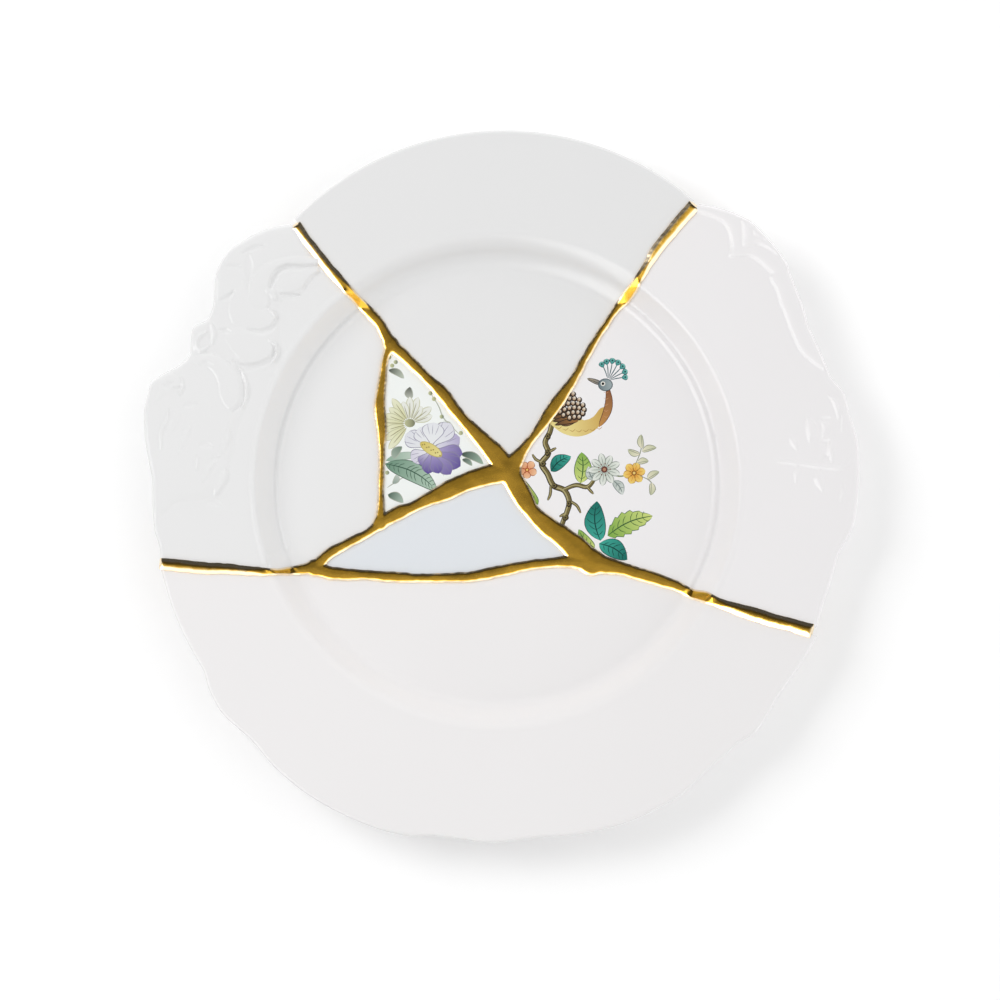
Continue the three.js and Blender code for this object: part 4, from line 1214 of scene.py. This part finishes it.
def bird_print(plate):
    """A crested bird on a gnarled branch, with leaves and blossoms below it."""
    art = Print(plate)
    bark, bark_light, bark_dark = "74683f", "b3a878", "2f281c"
    teal, teal_light, teal_dark = "0d6a60", "3fae9c", "0a3d39"
    green, green_light, green_dark = "7fb04a", "d7e386", "2f5a35"
    # Branch: a dark edge, the bark and its lit side, with stubs and knots
    trunk = [(15.6, 17), (14.9, 14.2), (13.6, 11.4), (14.5, 8.3), (12.6, 5.4), (14.3, 2.4),
             (15.9, -0.8), (19, -2.2), (20.4, -5.4), (19.7, -8.4), (18.4, -12), (18.7, -14.6)]
    arm = [(18.8, -2), (22.4, -0.7), (25.6, -1.2), (28, 1.6)]
    twigs = [[(13, 5.6), (10.9, 6.6), (10, 8)], [(15.2, -1), (15, -3.4), (14.3, -5)],
             [(14.6, 8.6), (16.7, 9.8)], [(20.2, -5), (22.6, -6.6), (23.6, -8.6)],
             [(19.6, -8.6), (17.6, -9.6)], [(25.4, -1.2), (27.2, -3.2)]]
    for wide, colour in ((1.75, bark_dark), (1.25, bark), (0.42, bark_light)):
        slide = -0.35 if colour == bark_light else 0
        for points in (trunk, arm):
            art.line([(x + slide, y) for x, y in points], wide * (0.75 if points is arm else 1),
                     colour, ends=(0.8, 0.55))
        for points in twigs:
            art.line(points, wide * 0.5, colour, ends=(0.9, 0.5))
    for x, y in ((14.4, 13), (14.2, 8.4), (13, 5.2), (16.2, -1), (20.3, -6), (19.4, -10)):
        art.dot((x, y), 0.95, bark_dark, squash=0.8, turn=x)
        art.dot((x - 0.1, y + 0.1), 0.66, bark, squash=0.8, turn=x)
        art.dot((x - 0.1, y + 0.1), 0.3, bark_dark, squash=0.8, turn=x)
    # Leaves
    art.leaf((15.2, 3.2), (20.9, 7.4), 3.6, (teal, teal_light), teal_dark, bend=0.12)
    art.leaf((23.6, -0.2), (23.9, 8.6), 4.6, (green_light, green), green_dark, bend=-0.06)
    art.leaf((29.2, -16.4), (28.2, -5.2), 5.6, (teal_light, teal), teal_dark, bend=0.1, ribs=5)
    art.leaf((31.2, -15), (43.9, -9.4), 6.0, (green, green_light), green_dark, bend=0.08,
             teeth=6, ribs=6)
    art.leaf((28.8, -17.2), (36.8, -21.8), 5.0, (teal_light, teal), teal_dark, bend=0.1, ribs=5)
    art.leaf((27.6, -18.4), (23, -13.2), 2.6, (green_light, green), green_dark, bend=0.1, ribs=3)
    art.leaf((11.6, -6.2), (7.2, 1), 4.0, (green, "e6e08a"), green_dark, bend=0.15, ribs=3)
    art.leaf((32.8, 0.6), (35.5, -3.4), 2.4, ("b9c3bd", "dfe5df"), "7d8a86", bend=0.1, ribs=2)
    art.leaf((27.4, 0.6), (25.8, 4.6), 2.2, ("b9c3bd", "dfe5df"), "7d8a86", bend=0.1, ribs=2)
    # Blossoms
    art.line([(28, 1.6), (29.2, 2.6), (30.3, 3.6)], 0.5, bark)
    art.line([(30.3, 3.6), (34.4, 1.8), (38.8, 2.8)], 0.4, "7d8a5c")
    art.flower((30.3, 3.7), 4.6, 9, ("c9d3c6", "eef1ea"), "8b958a", ((0.2, "6f4038"),
               (0.1, "b98a6a")), width=0.36, turn=0.4, streak="9aa49a")
    art.flower((38.7, 2.7), 3.2, 6, ("eba63e", "f7db78"), "b98337", ((0.24, "9c6226"),
               (0.12, "f0d47a")), width=0.6, turn=0.2, streak="dd9436")
    art.flower((8.5, 3.6), 2.7, 5, ("e79a6b", "f5c9a0"), "b26d4a", ((0.24, "b0562f"),
               (0.12, "f0c86a")), width=0.7, turn=0.9)
    # Buds and slender leaves on hair stems, to the right
    art.line([(38.9, 4.8), (40.4, 8.4), (41.2, 12.4)], 0.28, "8f947e")
    art.line([(40.2, 2), (43, 0.6), (44.9, -2)], 0.28, "8f947e")
    for base, tip in (((41, 9.6), (40.7, 13.6)), ((40.3, 8), (36.9, 9.3)),
                      ((40.9, 8.8), (45, 9.9)), ((42.4, 1), (45.8, 3.1)), ((43.6, 0), (43.4, -3.6)),
                      ((39.6, 5.6), (42.8, 6.1))):
        art.blade(base, tip, 1.5, ("efe9cf", "c8cda9"), "8f947e", bend=0.1)
        art.line([base, (np.array(base) + tip) / 2, tip], 0.18, "8f947e")
    bird(art)
    return art.shapes


def bird(art):
    """A crested bird that sits on the branch, behind the seam."""
    # Body from the tail round to the breast
    body = [(12.4, 19.2), (15.2, 16.4), (18.6, 13.9), (23, 13), (27.4, 14.6), (30.2, 17.9),
            (31.4, 21.4), (29.2, 21), (27.2, 18.6), (24.6, 17.6), (21, 19.4), (17, 20.8)]
    around = curve_through([(*p, 0) for p in body + body[:1]], 1.2)[:-1, :2]
    art.fill(around, "efdd92", "d3ab58", (20, 16.4), (30, 19))
    for k in range(7):
        x = 16.6 + 1.9 * k
        art.line([(x, 15.6 - 0.9 * math.sin(k * 0.5)), (x + 0.9, 15.2 - 0.9 * math.sin(k * 0.5)),
                  (x + 1.7, 15.9 - 0.9 * math.sin(k * 0.5))], 0.2, "b98f4c")
    # Neck that darkens towards the breast, and the head
    art.blade((28.8, 15.6), (30.9, 28.2), 2.0, ("c9924e", "7b4a3c"), "6b4636", bend=-0.13,
              full=0.42)
    for k in range(5):
        y = 18.8 + 1.7 * k
        art.line([(30.1, y), (30.8, y - 0.4), (31.5, y)], 0.17, "cf9a72")
    art.blade((29.2, 28), (25.4, 29.4), 1.0, ("7d7f80", "b9a98c"), "3c3a38", full=0.3)
    art.line([(29, 27.9), (25.8, 29.2)], 0.16, "3c3a38")
    art.dot((30.6, 27.6), 2.1, "4b5a60", sides=18, squash=0.86)
    art.dot((30.6, 27.6), 1.85, "a5b2b4", "6f8085", sides=18, squash=0.86)
    art.dot((29.9, 27.9), 0.66, "f3f1e8")
    art.dot((29.9, 27.9), 0.4, "211f1e", sides=9)
    # Crest of plumes with round tips
    for k in range(7):
        angle = math.radians(112 - 17 * k)
        long = 4.3 + 0.9 * math.sin(math.pi * k / 6)
        way = np.array([math.cos(angle), math.sin(angle)])
        root = np.array([31.4, 28.9]) + way * 0.6
        tip = root + way * long
        art.line([root, (root + tip) / 2 + (0.15, 0.1), tip], 0.26, "2e5661")
        art.blade(tip - way * 1.1, tip + way * 0.75, 1.35, ("2f8f8b", "7cc4ba"), "1f5158",
                  full=0.62)
        art.dot(tip, 0.28, "17474d", sides=8)
    # Wing: long feathers down to the tail under rows of small scalloped ones
    art.blade((24.4, 19.2), (15.2, 22), 5.0, ("8a6544", "5a4636"), "2b231d", bend=0.22)
    for k in range(5):
        art.blade((19.4 + k * 0.9, 18.2 - k * 0.2), (13.4 + k * 0.7, 20.6 - k * 1.1), 1.1,
                  ("a8763f", "4a382b"), "2b231d", bend=-0.05)
    for row, count in enumerate((3, 5, 6, 6, 5, 3)):
        for k in range(count):
            x = 20.2 + 0.34 * row + 1.36 * (k - (count - 1) / 2)
            y = 24.9 - 1.3 * row - 0.13 * (k - count / 2)**2
            art.dot((x, y), 0.86, "3a2e25", sides=10, squash=0.9, turn=1.2)
            art.dot((x - 0.1, y + 0.2), 0.56, "f6f0e0", "a97f52", sides=8, squash=0.8, turn=1.2)


def flower_print(plate):
    """An ink sketch of a pale daisy, a white and violet bloom, buds and grey-green leaves."""
    art = Print(plate)
    ink = "b4b9aa"
    # Stems
    for points in ([(-24.6, 19), (-24.4, 22.4), (-24.4, 24)],
                   [(-31, -1.4), (-28.2, 0.4), (-25.6, 2)],
                   [(-18.6, 25), (-16.4, 21.4), (-15.2, 18.4), (-12.6, 15.6), (-10.4, 13.4)],
                   [(-15, 17.4), (-13.4, 17), (-12, 15)], [(-24, 3.4), (-20.4, 5.2), (-18, 6.4)]):
        art.line(points, 0.3, ink)
    # Leaves: slender ones, dark at one end, and a long hatched one
    art.blade((-31.4, 6.2), (-20.6, 7.6), 1.9, ("8fb09b", "d3e0d3"), "a9bcae", bend=0.06)
    art.leaf((-31.6, 5.3), (-16.6, -2.6), 5.2, ("6c927c", "bdd6c2"), "41604f", bend=0.1, ribs=10)
    for base, tip, wide, tones in (
            ((-30.6, 31.8), (-26.2, 29.4), 1.6, ("4f554c", "c9d2c2")),
            ((-10.2, 8.1), (-3.8, 5.2), 2.0, ("38483f", "a5bfac")),
            ((-9.8, 6.6), (-7, 4.8), 1.2, ("4a5a50", "9fb2a3")),
            ((-30.8, -3.4), (-26.4, -5.6), 2.2, ("4d6557", "b3c7b8")),
            ((-29.4, 6.8), (-26.8, 10.2), 2.0, ("a9b9ab", "75897a")),
            ((-28, 2.2), (-29.4, -0.4), 1.4, ("c3cec5", "93a397")),
            ((-24.4, 23.6), (-24.6, 27), 2.0, ("c5c9bd", "585c54"))):
        art.blade(base, tip, wide, tones, ink, bend=0.12)
    # Small buds
    for k, (x, y) in enumerate(((-30.4, 35.4), (-28.6, 34), (-29.6, 33), (-18.8, 25.2),
                                (-17.8, 23.6), (-15.6, 18.6), (-16, 16.4), (-12.8, 15.4),
                                (-10.2, 14), (-31, 2.8))):
        art.dot((x, y), 0.62, ("9aa07c", "6c7a68")[k % 2], "d8dcae", sides=8)
    # Daisy, yellow on the left and nearly white above
    for k in range(13):
        angle = math.radians(20 + 17.5 * k)
        long = 5.4 + 1.1 * math.sin(2.3 * k) + 0.16 * k
        way = np.array([math.cos(angle), math.sin(angle)])
        root = np.array([-24.6, 16.6]) + way * 1.4
        tones = ("dfdfae", "eff0d6") if k > 5 else ("e9ebdf", "f1f3ec")
        art.blade(root, root + way * long, 1.9, tones, "c9caa6", full=0.6)
        art.line([root, root + way * long * 0.4, root + way * long * 0.72], 0.2, "96906c")
    art.dot((-24.6, 16.8), 1.5, "7d7f66", "c5c79c", squash=0.8)
    # Bloom: white petals with thin outlines, violet ruffles below and a long yellow heart
    bloom = np.array([-18.6, 9.4])
    for angle, long, wide, tones in (
            (150, 7.6, 5.0, ("eef0f2", "e6e8ee")), (22, 8.0, 4.8, ("e8e8f0", "b9b0d4")),
            (118, 6.2, 5.2, ("f2f4f5", "ebedf1")), (52, 8.4, 5.4, ("f0f2f4", "e4e4ee")),
            (84, 6.8, 6.0, ("f3f5f6", "eceef2")), (-152, 5.6, 4.2, ("efeff4", "dcd8e8")),
            (-8, 8.2, 4.2, ("b9aed6", "7b6dab")), (-30, 8.8, 4.6, ("ab9fce", "64569a")),
            (-52, 8.2, 3.8, ("b4a9d3", "7566a6")), (-122, 4.6, 3.4, ("d9d4e8", "7f70ad")),
            (-98, 6.2, 3.6, ("b7acd6", "5f4f96")), (-72, 6.4, 3.4, ("b0a4d2", "6757a0"))):
        way = np.array([math.cos(math.radians(angle)), math.sin(math.radians(angle))])
        root = bloom + way * 0.8
        art.blade(root, root + way * long, wide, tones, "8d88a2", full=0.68)
        for lean in (-0.22, 0.03, 0.25):
            side = np.array([-way[1], way[0]]) * lean * long
            art.line([root + way * long * 0.5 + side * 0.5, root + way * long * 0.7 + side * 0.8,
                      root + way * long * 0.9 + side], 0.13, "8d88a2")
    art.dot(bloom, 3.6, "c7b765", sides=18, squash=0.42, turn=-0.55)
    art.dot(bloom, 3.3, "ece29c", "ddc96c", sides=18, squash=0.4, turn=-0.55)
    for k in range(9):
        art.dot(bloom + (0.62 * (k - 4), -0.38 * (k - 4) + 0.5 * (k % 2 - 0.5)), 0.2, "8a7434",
                sides=6)
    return art.shapes


def add_node(tree, kind, sockets=(), **fields):
    """Adds a node to a tree, with its own fields. Each socket is joined to another node's, or
    set to a plain value."""
    node = tree.nodes.new(kind)
    for key, value in fields.items():
        setattr(node, key, value)
    for label, source in sockets:
        if isinstance(source, bpy.types.NodeSocket):
            tree.links.new(source, node.inputs[label])
        else:
            node.inputs[label].default_value = source
    return node


def calculate(tree, operation, *sources):
    return add_node(tree, "ShaderNodeMath", enumerate(sources), operation=operation).outputs[0]


def noise(tree, place, scale, detail):
    return add_node(tree, "ShaderNodeTexNoise", [
        ("Vector", place), ("Scale", scale), ("Detail", detail)]).outputs["Fac"]


def scaled(tree, colour, factor):
    return add_node(tree, "ShaderNodeVectorMath", [
        (0, colour), ("Scale", factor)], operation="SCALE").outputs[0]


def spread(tree, value, low, high, first, last, way="LINEAR"):
    """Runs from the first number to the last while the value runs from low to high."""
    return add_node(tree, "ShaderNodeMapRange", [
        ("Value", value), ("From Min", low), ("From Max", high),
        ("To Min", first), ("To Max", last)], interpolation_type=way).outputs["Result"]


def mixed(tree, factor, first, second):
    """A mix of two colours, whose sockets on the node have numbers 6 and 7."""
    return add_node(tree, "ShaderNodeMix", [
        (0, factor), (6, first), (7, second)], data_type="RGBA").outputs[2]


def finish_group(name, numbers, pattern):
    """The node group of a finish, built once. A colour and numbers go in, and the pattern makes
    of them the colour, roughness and height that come out."""
    if name in bpy.data.node_groups:
        return bpy.data.node_groups[name]
    tree = bpy.data.node_groups.new(name, "ShaderNodeTree")
    tree.interface.new_socket("Colour", in_out="INPUT", socket_type="NodeSocketColor")
    for label, value in numbers.items():
        socket = tree.interface.new_socket(label, in_out="INPUT", socket_type="NodeSocketFloat")
        socket.default_value = value
    tree.interface.new_socket("Colour", in_out="OUTPUT", socket_type="NodeSocketColor")
    for label in ("Roughness", "Height"):
        tree.interface.new_socket(label, in_out="OUTPUT", socket_type="NodeSocketFloat")
    given = tree.nodes.new("NodeGroupInput").outputs
    out = tree.nodes.new("NodeGroupOutput").inputs
    place = add_node(tree, "ShaderNodeTexCoord").outputs["Object"]
    for label, source in zip(("Colour", "Roughness", "Height"), pattern(tree, place, given)):
        tree.links.new(source, out[label])
    return tree


def glaze_pattern(tree, place, given):
    """Slow change of tone, smudges, faint ripples, and the bare biscuit under the foot."""
    drift = calculate(tree, "ADD", noise(tree, place, 14.0, 2.0), -0.5)
    tone = calculate(tree, "MULTIPLY_ADD", drift, given["Tone change"], 1.0)
    level = add_node(tree, "ShaderNodeSeparateXYZ", [(0, place)]).outputs["Z"]
    bare = spread(tree, level, 0.0004, 0.0002, 0.0, 1.0)
    specks = noise(tree, place, 900.0, 3.0)
    biscuit = mixed(tree, specks, BISCUIT_DARK, BISCUIT_LIGHT)
    colour = mixed(tree, bare, scaled(tree, given["Colour"], tone), biscuit)
    haze = calculate(tree, "MULTIPLY_ADD", noise(tree, place, 45.0, 4.0), 0.06, given["Gloss"])
    rough = calculate(tree, "MULTIPLY_ADD", bare, 0.6, haze)
    grain = calculate(tree, "MULTIPLY", specks, bare)
    ripple = noise(tree, place, 70.0, 1.0)
    return colour, rough, calculate(tree, "MULTIPLY_ADD", grain, 0.5, ripple)


def gold_pattern(tree, place, given):
    """Patches of tone, fine rubbing and soft dents."""
    tone = spread(tree, noise(tree, place, 90.0, 3.0), 0.3, 0.7, 0.88, 1.06)
    colour = scaled(tree, given["Colour"], tone)
    rough = calculate(tree, "MULTIPLY_ADD", noise(tree, place, 420.0, 4.0), 0.14, given["Gloss"])
    return colour, rough, noise(tree, place, 260.0, 2.0)


def new_material(name):
    """A material with one Principled shader, and its tree and shader."""
    material = bpy.data.materials.new(name)
    material.use_nodes = True
    return material, material.node_tree, material.node_tree.nodes["Principled BSDF"]


def add_finish(tree, shader, group, colour, strength, distance):
    """Puts a finish's roughness and bump on a shader, and gives the colour that it makes."""
    finish = add_node(tree, "ShaderNodeGroup", node_tree=group)
    finish.inputs["Colour"].default_value = (*colour, 1)
    bump = add_node(tree, "ShaderNodeBump", [
        ("Height", finish.outputs["Height"]), ("Strength", strength), ("Distance", distance)])
    tree.links.new(finish.outputs["Roughness"], shader.inputs["Roughness"])
    tree.links.new(bump.outputs["Normal"], shader.inputs["Normal"])
    return finish.outputs["Colour"]


def glaze_material(name, colour, printed=False):
    """Porcelain glaze, under the print where the shard has one."""
    material, tree, shader = new_material(name)
    group = finish_group("Porcelain glaze", {"Tone change": 0.02, "Gloss": 0.16}, glaze_pattern)
    tone = add_finish(tree, shader, group, colour, 0.35, 0.00006)
    if printed:
        paint = add_node(tree, "ShaderNodeAttribute", attribute_name="paint").outputs
        tone = mixed(tree, paint["Alpha"], tone, paint["Color"])
    tree.links.new(tone, shader.inputs["Base Color"])
    shader.inputs["IOR"].default_value = 1.5
    shader.inputs["Specular IOR Level"].default_value = 0.4
    return material


def gold_material(colour):
    """Rubbed gold, with a painted highlight of pale cream along its edges."""
    material, tree, shader = new_material("Rubbed gold")
    group = finish_group("Rubbed gold", {"Gloss": 0.12}, gold_pattern)
    tone = add_finish(tree, shader, group, colour, 0.12, 0.0001)
    # Painted highlight: pale cream mixed in along the sloping edge by the mask in the paint
    # attribute
    painted_highlight = add_node(tree, "ShaderNodeAttribute", attribute_name="paint").outputs["Fac"]
    tree.links.new(mixed(tree, painted_highlight, tone, PAINTED_HIGHLIGHT_GOLD), shader.inputs["Base Color"])
    shader.inputs["Metallic"].default_value = 1.0
    return material


def place_piece(piece, node):
    """Fixes a piece to the plate, in the place of its plain solid."""
    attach(piece, "root")
    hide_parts(node)


def place_shards(context, names, prints=None):
    """Builds shards and puts each in the place of its plain solid."""
    plate = Plate(context.scene.plate_sizes)
    joints = core_loops(plate)
    for name in names:
        shapes = (prints or {}).get(name, [])
        piece = make_shard(plate, name, joints, shapes)
        colour = getattr(context.scene.plate_colours, name)
        piece.data.materials.append(glaze_material(name + "_glaze", colour, bool(shapes)))
        place_piece(piece, name)


class PLATE_OT_plain_shards(bpy.types.Operator):
    """Builds the three shards without carving or print"""
    bl_idname = "plate.plain_shards"
    bl_label = "Plain shards"

    def execute(self, context):
        place_shards(context, ("top_shard", "bottom_shard", "centre_shard"))
        return {"FINISHED"}


class PLATE_OT_carved_shard(bpy.types.Operator):
    """Builds the shard with scrolls and lobes on its rim"""
    bl_idname = "plate.carved_shard"
    bl_label = "Carved shard"

    def execute(self, context):
        place_shards(context, ("left_shard",))
        return {"FINISHED"}


class PLATE_OT_printed_shards(bpy.types.Operator):
    """Builds the shards printed with a bird on a branch and with flowers"""
    bl_idname = "plate.printed_shards"
    bl_label = "Printed shards"

    def execute(self, context):
        plate = Plate(context.scene.plate_sizes)
        place_shards(context, ("right_shard", "floral_shard"), {
            "right_shard": bird_print(plate), "floral_shard": flower_print(plate)})
        return {"FINISHED"}


class PLATE_OT_gold_seams(bpy.types.Operator):
    """Pours the gold into the joints between the shards"""
    bl_idname = "plate.gold_seams"
    bl_label = "Gold seams"

    def execute(self, context):
        piece = make_gold(Plate(context.scene.plate_sizes))
        piece.data.materials.append(gold_material(context.scene.plate_colours.gold))
        place_piece(piece, "gold_seams")
        return {"FINISHED"}


def studio_world():
    """A light tent for the plate. What shines on it is nearly even. What mirrors in it is dim
    overhead, bright towards the viewer's side and dark beyond the plate, with a window low on
    the left."""
    world = bpy.data.worlds.new("Studio")
    world.use_nodes = True
    tree = world.node_tree
    way = add_node(tree, "ShaderNodeTexCoord").outputs["Generated"]
    up = add_node(tree, "ShaderNodeSeparateXYZ", [(0, way)]).outputs["Z"]

    def towards(direction):
        return add_node(tree, "ShaderNodeVectorMath", [
            (0, way), (1, direction)], operation="DOT_PRODUCT").outputs["Value"]

    even = calculate(tree, "ADD", towards((0.53, 0.0, -0.33)), 0.94)
    overhead = spread(tree, up, 0.80, 0.97, 1.0, 0.58, "SMOOTHSTEP")
    sides = spread(tree, towards((-0.15, -0.99, 0.0)), -0.35, 0.55, 0.06, 1.5, "SMOOTHSTEP")
    window = spread(tree, towards((-0.62, -0.5, 0.6)), 0.78, 0.94, 0.0, 3.2, "SMOOTHSTEP")
    mirrored = calculate(tree, "MULTIPLY_ADD", overhead, sides, window)
    ray = add_node(tree, "ShaderNodeLightPath").outputs["Is Glossy Ray"]
    strength = add_node(tree, "ShaderNodeMix", [("Factor", ray), ("A", even), ("B", mirrored)])
    sky = tree.nodes["Background"].inputs
    tree.links.new(strength.outputs[0], sky["Strength"])
    sky["Color"].default_value = (1, 1, 1, 1)
    return world


def add_floor():
    """A pale floor that glows a little, so that it stays nearly white in the plate's shadow."""
    bpy.ops.mesh.primitive_plane_add(size=FLOOR_SIDE)
    floor = bpy.context.active_object
    floor.name = "floor"
    material, _, shader = new_material("Pale floor")
    shader.inputs["Base Color"].default_value = (FLOOR_TONE, FLOOR_TONE, FLOOR_TONE, 1)
    shader.inputs["Roughness"].default_value = 0.9
    shader.inputs["Emission Color"].default_value = (1, 1, 1, 1)
    shader.inputs["Emission Strength"].default_value = FLOOR_GLOW
    floor.data.materials.append(material)


def add_key_light(scene):
    """A square soft light that casts the shadow. It doesn't mirror in the gold."""
    light = bpy.data.lights.new("key", "AREA")
    light.size = KEY_SIDE
    light.energy = KEY_POWER
    lamp = bpy.data.objects.new("key", light)
    lamp.location = KEY_PLACE
    lamp.rotation_euler = (-Vector(KEY_PLACE)).to_track_quat("-Z", "Y").to_euler()
    lamp.visible_glossy = False
    scene.collection.objects.link(lamp)


def add_camera(scene):
    lens = bpy.data.cameras.new("camera")
    lens.lens = LENS
    lens.sensor_width = SENSOR
    lens.clip_end = VIEW_DEPTH
    camera = bpy.data.objects.new("camera", lens)
    camera.location = (*VIEW_MIDDLE, RIM_LEVEL + LENS / SENSOR * VIEW_WIDTH)
    scene.collection.objects.link(camera)
    scene.camera = camera


class PLATE_OT_stage(bpy.types.Operator):
    """Sets the pale floor, the soft light and the camera above the plate"""
    bl_idname = "plate.stage"
    bl_label = "Stage"

    def execute(self, context):
        add_floor()
        add_key_light(context.scene)
        add_camera(context.scene)
        context.scene.world = studio_world()
        context.scene.view_settings.view_transform = "Standard"
        return {"FINISHED"}


class PLATE_PT_panel(bpy.types.Panel):
    """Sizes, colours and the steps that build the plate"""
    bl_label = "Mended plate"
    bl_idname = "PLATE_PT_panel"
    bl_space_type = "VIEW_3D"
    bl_region_type = "UI"
    bl_category = "Plate"

    def draw(self, context):
        column = self.layout.column()
        for step in STEPS:
            column.operator(step.bl_idname)
        for settings in (context.scene.plate_sizes, context.scene.plate_colours):
            for field in settings.__annotations__:
                column.prop(settings, field)


STEPS = (PLATE_OT_plain_shards, PLATE_OT_carved_shard, PLATE_OT_printed_shards,
         PLATE_OT_gold_seams, PLATE_OT_stage)
CLASSES = (PlateSizes, PlateColours, *STEPS, PLATE_PT_panel)


def register():
    for kind in CLASSES:
        bpy.utils.register_class(kind)
    bpy.types.Scene.plate_sizes = bpy.props.PointerProperty(type=PlateSizes)
    bpy.types.Scene.plate_colours = bpy.props.PointerProperty(type=PlateColours)


def unregister():
    del bpy.types.Scene.plate_sizes
    del bpy.types.Scene.plate_colours
    for kind in reversed(CLASSES):
        bpy.utils.unregister_class(kind)


def main():
    register()
    bpy.ops.plate.plain_shards()
    bpy.ops.plate.carved_shard()
    bpy.ops.plate.printed_shards()
    bpy.ops.plate.gold_seams()
    bpy.ops.plate.stage()


if __name__ == "__main__":
    main()
